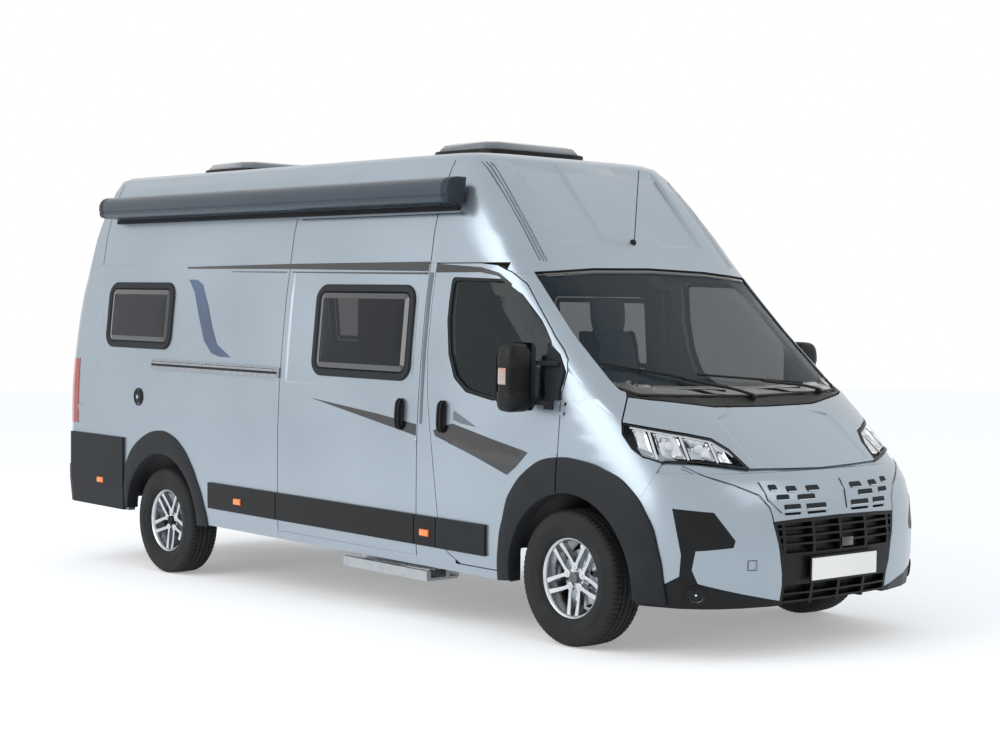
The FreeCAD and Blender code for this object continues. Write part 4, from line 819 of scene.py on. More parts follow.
def lay_line(name, line, width, lay, finish, body="body", slot="black_plastic", lift=0.0014,
             width_end=None):
    """A thin line of this width through points on the skin, laid in short steps."""
    rows = []
    total = sum((Vector(b) - Vector(a)).length for a, b in zip(line, line[1:]))
    done = 0.0
    for a, b in zip(line, line[1:]):
        a, b = Vector(a), Vector(b)
        across = Vector((a.y - b.y, b.x - a.x)).normalized()
        steps = max(1, int((b - a).length / 0.03))
        for step in range(steps + 1):
            if step == 0 and rows:
                continue
            here = a + (b - a) * (step / steps)
            share = (done + (b - a).length * step / steps) / total
            half = (width + ((width_end or width) - width) * share) / 2
            rows.append([lay(*(here + across * half), lift), lay(*(here - across * half), lift)])
        done += (b - a).length
    make_object(name, sheet_mesh(name, rows), [finish], body, slot)


swoosh = [(-3.82, 1.905), (-3.72, 1.905), (-3.64, 1.87), (-3.55, 1.74), (-3.48, 1.60),
          (-3.40, 1.48), (-3.23, 1.40), (-3.36, 1.40), (-3.46, 1.42), (-3.56, 1.50),
          (-3.65, 1.66), (-3.73, 1.82)]
slider_wedge = [(-2.30, 1.185), (-1.62, 1.125), (-1.258, 1.085), (-1.258, 1.02), (-1.60, 1.075),
                (-1.95, 1.13)]
door_wedge = [(-0.93, 1.108), (-0.60, 1.045), (-0.30, 0.993), (-0.40, 0.905), (-0.466, 0.86),
              (-0.72, 0.935), (-1.08, 1.03), (-1.10, 1.06), (-1.02, 1.09)]
grey_wedge = [(-0.927, 1.181), (-0.729, 1.101), (-0.86, 1.113), (-0.93, 1.13)]
films = [("swoosh", swoosh, "wall", stripe_blue),
         ("slider_stripe", slider_wedge, "wall", stripe_black),
         ("door_stripe", door_wedge, "door", stripe_black),
         ("grey_stripe", grey_wedge, "door", grey_film_and_groove_shade)]
# Name, line, width at its start and end, what it lies on, finish and slot
side_lines = [
    ("upper_stripe", [(-3.85, 1.985), (-2.65, 1.99), (-1.255, 1.985)], 0.012, 0.055, "wall",
     stripe_black, "black_plastic"),
    ("upper_pinstripe", [(-3.30, 1.958), (-1.255, 1.945)], 0.004, 0.012, "wall", stripe_black,
     "black_plastic"),
    ("door_top_stripe", [(-1.185, 1.975), (-0.80, 1.965), (-0.66, 1.94), (-0.55, 1.885)], 0.05,
     0.012, "door", stripe_black, "black_plastic"),
    ("pillar_stripe", [(-1.222, 1.95), (-1.222, 1.50), (-1.215, 1.09)], 0.034, 0.022, "wall",
     grey_film_and_groove_shade, "black_plastic"),
    ("roof_seam_rear", [(-2.640, 2.008), (-2.640, 2.33)], 0.004, 0.004, "wall", joint_and_shade_dark,
     "body_paint"),
    ("roof_seam_front", [(-1.245, 2.008), (-1.245, 2.60)], 0.004, 0.004, "wall", joint_and_shade_dark,
     "body_paint"),
    ("roof_seam_tail", [(-5.0, 2.008), (-5.0, 2.60)], 0.004, 0.004, "wall", joint_and_shade_dark,
     "body_paint"),
]
for side, sign in both_sides:
    bodies = {"wall": "body", "door": f"front_door_{side}"}
    for name, outline, place, finish in films:
        lay_patch(f"{name}_{side}", outline, from_side(sign, bodies[place]), finish,
                  bodies[place])
    for name, line, width, width_end, place, finish, slot in side_lines:
        lay_line(f"{name}_{side}", line, width, from_side(sign, bodies[place]), finish,
                 bodies[place], slot, width_end=width_end)


# Door handles, fuel cap, marker lamps and slide rail. Black moulded handles with an upright grip
# over a dark cup, a round key-locked cap, amber side lamps let into the rub strips, and an
# aluminium rail with a dark running slot.
amber_lens = mix_finish("amber_lens", (235, 110, 12), (255, 140, 30), 0.12, coat=1.0,
                        drift=60.0, grain=120.0, depth=0.0006)
bright_metal = mix_finish("bright_metal", (200, 204, 208), (214, 217, 220), 0.16,
                          metallic=1.0, drift=14.0, grain=900.0, depth=0.00003)
rail_metal = mix_finish("brushed_rail", (150, 156, 162), (170, 175, 180), 0.3,
                        metallic=1.0, drift=30.0, grain=1400.0, depth=0.00006)
handle_half, cup_half = (0.025, 0.085), (0.030, 0.086)


def pill(centre_x, centre_z, half_wide, half_high, steps=10):
    """Outline (x, z) of an upright shape with round ends."""
    points = []
    straight = half_high - half_wide
    for first, z in ((0, centre_z + straight), (180, centre_z - straight)):
        for step in range(steps + 1):
            turn = math.radians(first + 180 * step / steps)
            points.append((centre_x + half_wide * math.cos(turn), z + half_wide * math.sin(turn)))
    return points


def tube_through(name, points, radius, finish, body="body", slot="black_plastic"):
    """A round bar, smooth through its points, as a mesh."""
    curve = bpy.data.curves.new(name, "CURVE")
    curve.dimensions = "3D"
    spline = curve.splines.new("NURBS")
    spline.points.add(len(points) - 1)
    for point, place in zip(spline.points, points):
        point.co = (*place, 1.0)
    spline.order_u = 3
    spline.use_endpoint_u = True
    curve.resolution_u = 8
    curve.bevel_depth = radius
    curve.bevel_resolution = 4
    curve.use_fill_caps = True
    holder = show(name + "_line", curve)
    bpy.context.view_layer.update()
    mesh = bpy.data.meshes.new_from_object(holder)
    bpy.data.objects.remove(holder)
    bpy.data.curves.remove(curve)
    return make_object(name, mesh, [finish], body, slot, sharp=math.radians(50))


def make_handle(name, x, z, sign, body):
    """Black pull handle: a raised oval plate, a dark cup and an upright grip."""
    lay = from_side(sign, body)
    lay_patch(name + "_plate", pill(x, z, *handle_half), lay, black_plastic, body,
              lift=0.004, thickness=0.008, rounding=0.002)
    lay_patch(name + "_cup", pill(x, z, *cup_half), lay, joint_and_shade_dark, body, lift=0.0088)
    for number, offset in enumerate((-0.012, 0.012)):
        ends = [lay(x + offset, z + height, lift) for height, lift in (
            (-0.084, 0.004), (-0.076, 0.022), (-0.05, 0.030), (0.05, 0.030), (0.076, 0.022),
            (0.084, 0.004))]
        tube_through(f"{name}_grip_{number}", ends, 0.0085, black_plastic, body)
    lay_line(name + "_insert", [(x, z - 0.06), (x, z + 0.06)], 0.006, lay, bright_metal, body,
             "rail_metal", lift=0.026)


make_handle("slider_handle", -1.400, 1.136, -1, "body")
for side, sign in both_sides:
    make_handle(f"door_handle_{side}", -1.020, 1.142, sign, f"front_door_{side}")


def circle(radius, sides):
    """Points (a, b) round a circle."""
    turns = [2 * math.pi * i / sides for i in range(sides)]
    return [(radius * math.cos(turn), radius * math.sin(turn)) for turn in turns]


def turned_disc(name, centre, outward, profile, finish, slot="black_plastic", sides=48):
    """A turned part: (radius, height) points spun about an axis that points outward."""
    across = outward.orthogonal().normalized()
    up = outward.cross(across)
    rows = [[centre + outward * height + across * a + up * b for a, b in circle(radius, sides)]
            for radius, height in profile]
    make_object(name, ring_mesh(name, rows), [finish], "body", slot)


cap_place = from_side(-1, "body")(-4.35, 1.09, 0.0)
right_way = Vector((0, -1, 0))
turned_disc("fuel_cap_ring", cap_place, right_way,
            [(0.062, -0.004), (0.062, 0.004), (0.052, 0.007), (0.050, -0.002), (0.046, -0.002),
             (0.044, 0.006), (0.0, 0.008)], black_plastic)
turned_disc("fuel_cap_lock", cap_place, right_way,
            [(0.013, 0.006), (0.013, 0.012), (0.004, 0.013), (0.003, 0.009), (0.0, 0.009)],
            bright_metal, "rail_metal")
strip_skin = {node: surface_of(node) for node in ("side_strips", "rear_bumper")}
for side, sign in both_sides:
    for number, (x, z, node) in enumerate(((-4.85, 0.472, "rear_bumper"),
                                           (-3.07, 0.474, "side_strips"),
                                           (-1.15, 0.477, "side_strips"))):
        face = strip_skin[node].ray_cast(Vector((x, sign * 2, z)), Vector((0, -sign, 0)))[0]
        y = face.y if face else sign * 1.045
        rows = []
        for half_x, half_z, lift in ((0.040, 0.020, -0.002), (0.040, 0.020, 0.004),
                                     (0.034, 0.015, 0.011)):
            rows.append([stand(x + a * half_x, y + sign * lift, z + b * half_z)
                         for a, b in ((1, 1), (-1, 1), (-1, -1), (1, -1))])
        lens = ring_mesh("marker_lens", rows)
        cap_rows(lens, (8, 4), turn_out=False)
        make_object(f"marker_lamp_{side}_{number}", lens, [amber_lens], "body", "red_lens",
                    rounding=0.002)
rail_front = -2.6
rail = welded_panel("slide_rail")
past_front = [f for f in rail.faces if f.calc_center_median().x > rail_front]
bmesh.ops.delete(rail, geom=past_front, context="FACES")
piece = make_object("slide_rail_bar", close_panel(rail, "slide_rail"), [rail_metal], "body",
                    "rail_metal", rounding=0.002)
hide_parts("slide_rail")
for height, width in ((1.322, 0.016), (1.345, 0.003)):
    lay_line(f"slide_rail_slot_{int(height * 1000)}", [(-4.18, height), (-2.66, height)], width,
             lambda x, z, lift: stand(x, -(wall_y(z) + 0.0128), z), joint_and_shade_dark)


# Wheels: 16 inch alloy wheels with five double spokes, machined silver on the face and black in
# the pockets, and van tyres with ribbed walls and a blocked tread. One wheel is built about its
# own axis from turned profiles and a loop of spokes, and set at each hub.
tyre_rubber = mix_finish("tyre_rubber", (34, 35, 36), (46, 46, 46), 0.78, drift=7.0,
                         grain=500.0, depth=0.0004)
alloy_face = mix_finish("machined_alloy", (196, 200, 204), (210, 213, 216), 0.24,
                        metallic=1.0, drift=10.0, grain=2500.0, depth=0.00002)
alloy_black = mix_finish("black_alloy_paint", (26, 27, 29), (34, 35, 38), 0.3,
                         metallic=0.3, coat=0.6)
disc_steel = mix_finish("brake_disc_steel", (120, 118, 116), (140, 134, 128), 0.35,
                        metallic=1.0, drift=12.0, grain=700.0, depth=0.0001)
tyre_half = [
    (0.2035, 0.060), (0.2035, 0.078), (0.214, 0.086), (0.222, 0.098), (0.2235, 0.0995),
    (0.226, 0.0995), (0.2275, 0.101), (0.250, 0.1085), (0.272, 0.1115), (0.2735, 0.1125),
    (0.278, 0.1125), (0.2795, 0.1115), (0.300, 0.1105), (0.3215, 0.107), (0.336, 0.1035),
    (0.346, 0.0985), (0.3535, 0.0905), (0.3570, 0.0800), (0.3576, 0.0590), (0.3576, 0.0560),
    (0.3485, 0.0545), (0.3485, 0.0465), (0.3588, 0.0450), (0.3594, 0.0240), (0.3490, 0.0225),
    (0.3490, 0.0145), (0.3596, 0.0130), (0.3598, 0.0),
]
tread_blocks, steps_per_block = 78, 4
shoulder_notch, tread_notch = 0.0065, 0.0035


def tyre_mesh(name):
    """Spun tyre profile whose shoulder and tread are notched into blocks."""
    profile = tyre_half + [(r, -w) for r, w in reversed(tyre_half[:-1])]
    sides = tread_blocks * steps_per_block
    rows = []
    for index, (radius, w) in enumerate(profile):
        row = []
        for i in range(sides):
            a = 2 * math.pi * i / sides
            r = radius
            slot = (i + (2 if w > 0 else 0)) % steps_per_block == 0
            if slot and radius > 0.340 and abs(w) > 0.056:
                r = radius - shoulder_notch
            elif slot and radius > 0.357 and 0.012 < abs(w) < 0.056:
                r = radius - tread_notch
            row.append(Vector((r * math.cos(a), w, r * math.sin(a))))
        rows.append(row)
    return ring_mesh(name, rows, close_rows=True)


rim_profile = [
    (0.194, -0.082), (0.213, -0.0825), (0.213, -0.078), (0.2032, -0.073), (0.2030, 0.072),
    (0.2125, 0.0785), (0.2130, 0.0825), (0.2075, 0.0830), (0.2000, 0.0765), (0.1965, 0.070),
    (0.1930, 0.052), (0.1900, -0.020), (0.1900, -0.076),
]
spokes = 5
spoke_turn, first_spoke = 72, 90
bolt_circle = 0.059


def wheel_mesh(name):
    """Rim barrel, spokes, hub, cap and bolts; the outward side is +Y."""
    rows = []
    sides = 96
    for radius, w in rim_profile:
        rows.append([Vector((a, w, b)) for a, b in circle(radius, sides)])
    barrel = ring_mesh(name, rows, close_rows=True)
    bm = bmesh.new()
    bm.from_mesh(barrel)
    for face in bm.faces:
        centre = face.calc_center_median()
        bright = centre.y > 0.0735 and math.hypot(centre.x, centre.z) > 0.2
        face.material_index = 0 if bright else 1
    for number in range(spokes):
        apex = math.radians(first_spoke + spoke_turn * number)
        for lean in (-1, 1):
            blades = []
            for swing, r, half, top, under in ((3.0, 0.050, 0.0120, 0.050, 0.010),
                                               (13.5, 0.088, 0.0105, 0.053, 0.014),
                                               (22.5, 0.140, 0.0110, 0.059, 0.024),
                                               (27.5, 0.1985, 0.0130, 0.068, 0.034)):
                a = apex + lean * math.radians(swing)
                out = Vector((math.cos(a), 0, math.sin(a)))
                side = Vector((-math.sin(a), 0, math.cos(a)))
                blades.append([bm.verts.new(out * r + side * (k * half) + Vector((0, y, 0)))
                               for k, y in ((-1, top), (1, top), (1.3, under), (-1.3, under))])
            for low, high in zip(blades, blades[1:]):
                for i in range(4):
                    j = (i + 1) % 4
                    face = bm.faces.new((low[i], low[j], high[j], high[i]))
                    face.material_index = 0 if i == 0 else 1
    turned = [(0.058, 0.056, -0.010, 0.040, 1, 0, 0), (0.024, 0.022, 0.040, 0.051, 1, 0, 0)]
    for number in range(spokes):
        turn = math.radians(first_spoke + spoke_turn * number)
        x, z = bolt_circle * math.cos(turn), bolt_circle * math.sin(turn)
        turned += [(0.0225, 0.0215, 0.020, 0.0535, 0, x, z),
                   (0.0140, 0.0135, 0.050, 0.0545, 1, x, z),
                   (0.0095, 0.0085, 0.050, 0.0575, 2, x, z)]
    turned.append((0.148, 0.148, -0.030, -0.022, 3, 0, 0))
    for radius_low, radius_high, low, high, index, cx, cz in turned:
        sides = 48 if radius_low > 0.02 else (6 if index == 2 else 24)
        ring = []
        for radius, y in ((radius_low, low), (radius_low, high - 0.002), (radius_high, high)):
            ring.append([bm.verts.new((cx + a, y, cz + b)) for a, b in circle(radius, sides)])
        for lower, upper in zip(ring, ring[1:]):
            for i in range(sides):
                j = (i + 1) % sides
                bm.faces.new((lower[i], lower[j], upper[j], upper[i])).material_index = index
        bm.faces.new(ring[-1]).material_index = index
    bmesh.ops.recalc_face_normals(bm, faces=bm.faces)
    bm.to_mesh(barrel)
    bm.free()
    return barrel


for end in ("front", "rear"):
    for side, sign in both_sides:
        low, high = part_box(f"tyre_{end}_{side}")
        place = Matrix.Translation((low + high) / 2) @ Matrix.Diagonal((1, sign, 1, 1))
        body = f"wheel_{end}_{side}"
        for kind, mesh, finishes, slot in (
                ("tyre", tyre_mesh("tyre"), [tyre_rubber], "tyre_rubber"),
                ("rim", wheel_mesh("rim"), [alloy_face, alloy_black, bright_metal, disc_steel],
                 "wheel_alloy")):
            mesh.transform(place)
            if sign < 0:
                mesh.flip_normals()
            piece = make_object(f"{kind}_{end}_{side}_shown", mesh, finishes, body, slot,
                                rounding=0.0015 if kind == "rim" else 0.0,
                                sharp=math.radians(40 if kind == "rim" else 32))
            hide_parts(f"{kind}_{end}_{side}")


# Lamps: clear headlamp covers over a black tub with bright reflectors and a light guide along
# the top, and red tail lamps in bands. The headlamp is laid out across each front corner, along
# the corner's face and up, and its bowls are dished into the tub.
lamp_chrome = mix_finish("lamp_reflector", (222, 226, 230), (240, 242, 244), 0.10,
                         metallic=1.0, drift=30.0)
lamp_white = mix_finish("lamp_inner_lens", (214, 220, 226), (228, 232, 236), 0.15,
                        coat=1.0, drift=40.0, grain=260.0, depth=0.0006)
red_lens = mix_finish("red_lens", (128, 8, 12), (160, 14, 16), 0.12, coat=1.0,
                      drift=40.0, grain=160.0, depth=0.0006)
clear_cover = tint_glass("clear_lamp_cover", (60, 66, 72), 0.10, 0.02)
lamp_top = [(-0.440, 1.182), (-0.299, 1.161), (-0.115, 1.132), (0.010, 1.1075), (0.102, 1.055),
            (0.160, 1.002), (0.203, 0.966)]
lamp_bottom = [(-0.445, 1.128), (-0.395, 1.0585), (-0.340, 1.0205), (-0.243, 0.9956),
               (-0.215, 1.0020), (-0.056, 0.9985), (0.203, 0.966)]
lamp_outline = lamp_top + lamp_bottom[-2::-1]
tub_depth = 0.058
guide_line = (-0.405, 0.120)
bowl_places = [(-0.395, -0.325), (-0.290, -0.165), (-0.140, -0.015), (0.010, 0.070)]
bar_places = [-0.310, -0.152, -0.003]
bowl_lean = 0.045
bowl_foot, bowl_head, bowl_mouth = 0.016, 0.020, 0.012


def on_corner(sign):
    """How to lay a point across a front corner: s along its face from rear to centre, and z."""
    def lay(s, z, lift):
        turn = math.sqrt(0.5)
        near, away = 0.2, 1.7
        for _ in range(30):
            t = (near + away) / 2
            if skin_depth((s + t) * turn, (t - s) * turn, z) < 0:
                near = t
            else:
                away = t
        t = near + lift
        return body_place @ Vector(((s + t) * turn, sign * (t - s) * turn, z))
    return lay


def height_on(line, s):
    """Height of a lamp edge at a place along the corner."""
    for (s_low, z_low), (s_high, z_high) in zip(line, line[1:]):
        if s <= s_high:
            break
    return z_low + (z_high - z_low) * (s - s_low) / (s_high - s_low)


def shrink(outline, distance):
    """The outline moved inwards by a distance."""
    moved = []
    count = len(outline)
    area = sum(outline[i - 1][0] * outline[i][1] - outline[i][0] * outline[i - 1][1]
               for i in range(count))
    for i in range(count):
        before = (Vector(outline[i]) - Vector(outline[i - 1])).normalized()
        after = (Vector(outline[(i + 1) % count]) - Vector(outline[i])).normalized()
        normal = (Vector((-before.y, before.x)) + Vector((-after.y, after.x))).normalized()
        if area < 0:
            normal = -normal
        moved.append(tuple(Vector(outline[i]) + normal * distance))
    return moved


def refined(outline, step=0.02):
    """The same closed outline with points every step."""
    points = []
    for a, b in zip(outline, outline[1:] + outline[:1]):
        a, b = Vector(a), Vector(b)
        count = max(1, int((b - a).length / step))
        points += [tuple(a + (b - a) * i / count) for i in range(count)]
    return points


def lay_rings(name, rings, lay, finish):
    """Closed outlines, each at its own height over the skin, joined into a band."""
    rows = [[lay(a, b, lift) for a, b in outline] for outline, lift in rings]
    return make_object(name, ring_mesh(name, rows), [finish], sharp=math.radians(35))


def make_bowl(name, lay, first, last, depth, finish):
    """A dished reflector between two places along the lamp."""
    cells = 10
    rows = []
    for j in range(cells + 1):
        v = j / cells
        dish_up = math.sqrt(max(0.0, 1 - (2 * v - 1) ** 4))
        row = []
        for i in range(cells + 1):
            u = i / cells
            s = first + (last - first) * u + bowl_lean * (1 - v)
            low = height_on(lamp_bottom, s) + bowl_foot
            high = height_on(lamp_top, s) - bowl_head
            dish = math.sqrt(max(0.0, 1 - (2 * u - 1) ** 4)) * dish_up
            row.append(lay(s, low + (high - low) * v, -bowl_mouth - depth * dish))
        rows.append(row)
    return make_object(name, sheet_mesh(name, rows), [finish], "body", "lamp_glass")


for side, sign in both_sides:
    lay = on_corner(sign)
    lamp_edge = refined(lamp_outline)
    inner_edge = shrink(lamp_edge, 0.008)
    lay_rings(f"headlamp_border_{side}", [(lamp_edge, -0.006), (lamp_edge, -0.0012),
                                          (inner_edge, -0.0012), (inner_edge, -0.008)], lay,
              black_plastic)
    tub = lay_rings(f"headlamp_wall_{side}", [(lamp_edge, -0.003), (lamp_edge, -tub_depth)], lay,
                    black_plastic)
    lay_patch(f"headlamp_back_{side}", lamp_outline, lay, black_plastic, lift=-tub_depth)
    if sign > 0:
        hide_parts("headlamps")
    for number, (first, last) in enumerate(bowl_places):
        make_bowl(f"headlamp_bowl_{side}_{number}", lay, first, last,
                  0.040 if 0 < number < 3 else 0.020, lamp_chrome)
    for number, s in enumerate(bar_places):
        line = [(s + bowl_lean, height_on(lamp_bottom, s + bowl_lean) + 0.012),
                (s, height_on(lamp_top, s) - 0.016)]
        lay_line(f"headlamp_bar_{side}_{number}", line, 0.012, lay, lamp_white, "body",
                 "lamp_glass", lift=-0.007)
    first, last = guide_line
    steps = 16
    places = [first + (last - first) * i / steps for i in range(steps + 1)]
    line = [(s, height_on(lamp_top, s) - 0.013) for s in places]
    lay_line(f"headlamp_guide_{side}", line, 0.010, lay, lamp_white, "body", "lamp_glass",
             lift=-0.006)
    for number, s in enumerate((-0.205, -0.055)):
        z = (height_on(lamp_top, s) + height_on(lamp_bottom, s)) / 2 + 0.002
        facing = (lay(s, z, 0.05) - lay(s, z, 0.0)).normalized()
        turned_disc(f"headlamp_bulb_{side}_{number}", lay(s, z, -0.045), facing,
                    [(0.024, -0.004), (0.024, 0.016), (0.020, 0.024), (0.011, 0.029),
                     (0.0, 0.031)], lamp_white, "lamp_glass", sides=24)
    lay_patch(f"headlamp_cover_{side}", lamp_outline, lay,
              clear_cover, "body", "lamp_glass", lift=-0.0004)
tail_lens = welded_panel("tail_lamps")
tail_bands = (1.00, 1.09, 1.18)
for z in tail_bands:
    cut_whole(tail_lens, (0, 0, z), (0, 0, 1))
for face in tail_lens.faces:
    z = face.calc_center_median().z
    face.material_index = (1 if tail_bands[0] < z < tail_bands[1]
                           else 2 if tail_bands[1] < z < tail_bands[2] else 0)
piece = make_object("tail_lamp_lenses", close_panel(tail_lens, "tail_lamps"),
                    [red_lens, lamp_white, amber_lens], "body", "red_lens", rounding=0.004)
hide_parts("tail_lamps")


# Front face: bumper slots, the blank plate, camera window, fog lamps and tow-eye cover. The slots
# are dark patches of painted shade with lips of painted highlight, laid on a painted panel over
# the bumper's taller ones. A black panel backs the grille, and the shut lines of the fascia are
# thin dark joints on the skin.
plate_white = mix_finish("plate_white", (226, 226, 222), (232, 232, 228), 0.35,
                         coat=0.3)
plate_place = (1.006, 0.462)
plate_half = (0.260, 0.0565)


def on_nose(y, z, lift):
    """Lay a point (y, z) on the front of the smooth skin."""
    place = Vector((nose_x(y, z), y, z))
    return body_place @ (place + skin_normal(place) * lift)


slot_rows = [(-0.479, -0.422, 0.876), (-0.368, -0.295, 0.866), (-0.226, -0.128, 0.864),
             (-0.449, -0.362, 0.828), (-0.308, -0.176, 0.824), (-0.410, -0.293, 0.779),
             (-0.255, -0.101, 0.777)]
slot_half, slot_corner = 0.013, 0.008
# A lighter copy of the silver paint: painted highlight along the lower lip of each slot.
lip_highlight_paint = mix_finish("silver_paint_lip_highlight", (196, 208, 218), (204, 215, 224),
                          0.3, metallic=0.4, coat=0.6, drift=3.0)
for side, sign in both_sides:
    field = [(-0.515, 0.910), (-0.075, 0.905), (-0.065, 0.752), (-0.425, 0.752), (-0.500, 0.82)]
    lay_patch(f"slot_panel_{side}", [(-sign * y, z) for y, z in field], on_nose,
              silver_paint, "body", "body_paint", lift=0.0040)
    for number, (first, last, z) in enumerate(slot_rows):
        outline = rounded_outline(first + 0.004, last, z - slot_half, z + slot_half, slot_corner,
                                  5)
        # Each slot is a flat dark patch of painted shade, with a line of painted highlight on its
        # lower lip.
        lay_patch(f"bumper_slot_{side}_{number}", [(-sign * y, h) for y, h in outline], on_nose,
                  joint_and_shade_dark, lift=0.0056)
        lay_line(f"bumper_slot_lip_{side}_{number}",
                 [(-sign * (first + 0.010), z - 0.0135), (-sign * (last - 0.006), z - 0.0135)],
                 0.004, on_nose, lip_highlight_paint, "body", "body_paint", lift=0.0064)
lay_patch("grille_backing", [(-0.46, 0.28), (0.46, 0.28), (0.47, 0.70), (-0.47, 0.70)], on_nose,
          black_plastic, lift=-0.045)
shelf = [(-0.955, 0.90), (-0.60, 0.90), (0.60, 0.90), (0.955, 0.90), (0.955, 1.075), (0.90, 1.04),
         (0.80, 1.00), (0.60, 0.985), (0.0, 0.965), (-0.60, 0.985), (-0.80, 1.00), (-0.90, 1.04),
         (-0.955, 1.075)]
lay_patch("fascia_shelf", shelf, on_nose, silver_paint, "body", "body_paint", lift=-0.012)
lay_patch("camera_window", [(0.0, 0.560), (0.09, 0.560), (0.09, 0.605), (0.0, 0.605)], on_nose,
          printed_edge, lift=0.004, thickness=0.006, rounding=0.0015)
x, z = plate_place
for name, half_y, half_z, front, finish in (("plate_holder", 0.268, 0.066, 0.0, black_plastic),
                                            ("blank_plate", *plate_half, 0.006, plate_white)):
    outline = [(-half_y, -half_z), (half_y, -half_z), (half_y, half_z), (-half_y, half_z)]
    rows = [[stand(x + front + step, y, z + height) for y, height in outline]
            for step in (-0.006, 0.002)]
    mesh = ring_mesh(name, rows)
    cap_rows(mesh, (4, 4))
    make_object(name, mesh, [finish], rounding=0.0015)
fog_place = (0.860, 0.353)
for side, sign in both_sides:
    y, z = sign * fog_place[0], fog_place[1]
    facing = body_place.to_3x3() @ skin_normal(Vector((nose_x(y, z), y, z)))
    centre = on_nose(y, z, 0.0)
    for name, finish, slot, profile in (
            ("ring", black_plastic, "black_plastic",
             [(0.050, -0.004), (0.050, 0.005), (0.044, 0.009), (0.038, 0.004), (0.037, -0.012)]),
            ("bowl", lamp_chrome, "lamp_glass",
             [(0.037, 0.000), (0.030, -0.010), (0.016, -0.014), (0.010, -0.004), (0.0, -0.002)]),
            ("lens", clear_cover, "lamp_glass",
             [(0.038, 0.001), (0.030, 0.005), (0.015, 0.007), (0.0, 0.0075)])):
        turned_disc(f"fog_lamp_{name}_{side}", centre, facing, profile, finish, slot, sides=40)
    joint = [(0.845, 0.985), (0.780, 0.940), (0.660, 0.895), (0.545, 0.845), (0.495, 0.780),
             (0.480, 0.700)]
    lay_line(f"fascia_joint_{side}", [(sign * y, z) for y, z in joint], 0.0045, on_nose,
             joint_and_shade_dark, "body", "body_paint", lift=0.0012)
    lay_line(f"washer_jet_{side}", [(sign * 0.275, 1.262), (sign * 0.295, 1.262)], 0.012, on_nose,
             black_plastic, lift=0.004)
cover_half = 0.024
for a, b in (((-1, -1), (1, -1)), ((1, -1), (1, 1)), ((1, 1), (-1, 1)), ((-1, 1), (-1, -1))):
    lay_line("tow_cover_joint", [(-0.615 + a[0] * cover_half, 0.500 + a[1] * cover_half),
                                 (-0.615 + b[0] * cover_half, 0.500 + b[1] * cover_half)], 0.003,
             on_nose, joint_and_shade_dark, "body", "body_paint", lift=0.0012)


# Arch flares: grey-black moulded plastic that bulges out from the skin round each wheel and
# turns in at its lip. Each is swept round the arch; the front ones are parted at the cab door.
flare_sides = {
    "front": ((0.020, 0.340), 0.458, (186.0, -4.0), [
        (185.8, 0.560), (168.7, 0.562), (153.0, 0.584), (137.7, 0.628), (124.3, 0.645),
        (109.2, 0.657), (96.2, 0.650), (84.2, 0.646), (69.5, 0.655), (56.5, 0.676),
        (46.9, 0.680), (33.5, 0.665), (19.1, 0.640), (5.7, 0.630), (-4.0, 0.636)]),
    "rear": ((-4.0338, 0.255), 0.454, (174.0, 2.0), [
        (174.0, 0.500), (158.0, 0.545), (143.9, 0.596), (130.0, 0.612), (116.0, 0.612),
        (102.0, 0.617), (88.6, 0.618), (75.0, 0.606), (62.7, 0.587), (48.0, 0.562),
        (34.6, 0.548), (18.0, 0.556), (2.0, 0.578)]),
}
flare_section = [(1.0, -0.003), (1.0, 0.0075), (0.93, 0.0115), (0.55, 0.0155), (0.14, 0.0165),
                 (0.02, 0.0135), (0.0, 0.0085), (0.0, -0.070)]
flare_steps = 96


def radius_at(reach, angle):
    """Smoothly read the flare's outer radius at an angle."""
    for (a, ra), (b, rb) in zip(reach, reach[1:]):
        if angle >= b:
            break
    t = (angle - a) / (b - a)
    return ra + (rb - ra) * (t * t * (3 - 2 * t) * 0.5 + t * 0.5)


def flare_shape(end, sign):
    """Swept section round the arch, closed at both feet."""
    centre, inner, (first, last), reach = flare_sides[end]
    rows = []
    for step in range(flare_steps + 1):
        angle = first + (last - first) * step / flare_steps
        a = math.radians(angle)
        outer = radius_at(reach, angle)
        row = []
        for share, lift in flare_section:
            r = inner + 0.002 + (outer - inner - 0.002) * share
            x, z = centre[0] + r * math.cos(a), centre[1] + r * math.sin(a)
            row.append((x, sign * (side_y(x, z) + lift), z))
        rows.append(row)
    bm, made = sheet_rows(rows)
    for row in (made[0], made[-1]):
        bm.faces.new(row)
    bmesh.ops.recalc_face_normals(bm, faces=bm.faces)
    return bm


def cut_flare(bm, x, keep):
    """Keep the flare behind (-1) or ahead (1) of the door joint."""
    cut_whole(bm, (x, 0, 0), (keep, 0, 0), clear_inner=True)


def make_flare(name, bm, body="body"):
    return make_object(name, close_panel(bm, name), [dark_plastic], body, "grey_plastic",
                       sharp=math.radians(40))


for side, sign in both_sides:
    rear_flare = make_flare(f"rear_flare_{side}", flare_shape("rear", sign))
    ahead = flare_shape("front", sign)
    cut_flare(ahead, door_seam_x + 0.006, 1)
    make_flare(f"wing_flare_{side}", ahead)
    behind = flare_shape("front", sign)
    cut_flare(behind, door_seam_x - 0.006, -1)
    lip = []
    for face in behind.faces:
        x, y, z = face.calc_center_median()
        if x > door_seam_x - 0.06 and abs(y) < side_y(x, z) - 0.004:
            lip.append(face)
    bmesh.ops.delete(behind, geom=lip, context="FACES")
    make_flare(f"door_flare_{side}", behind, f"front_door_{side}")
    if sign > 0:
        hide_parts("wheel_arch_flares")


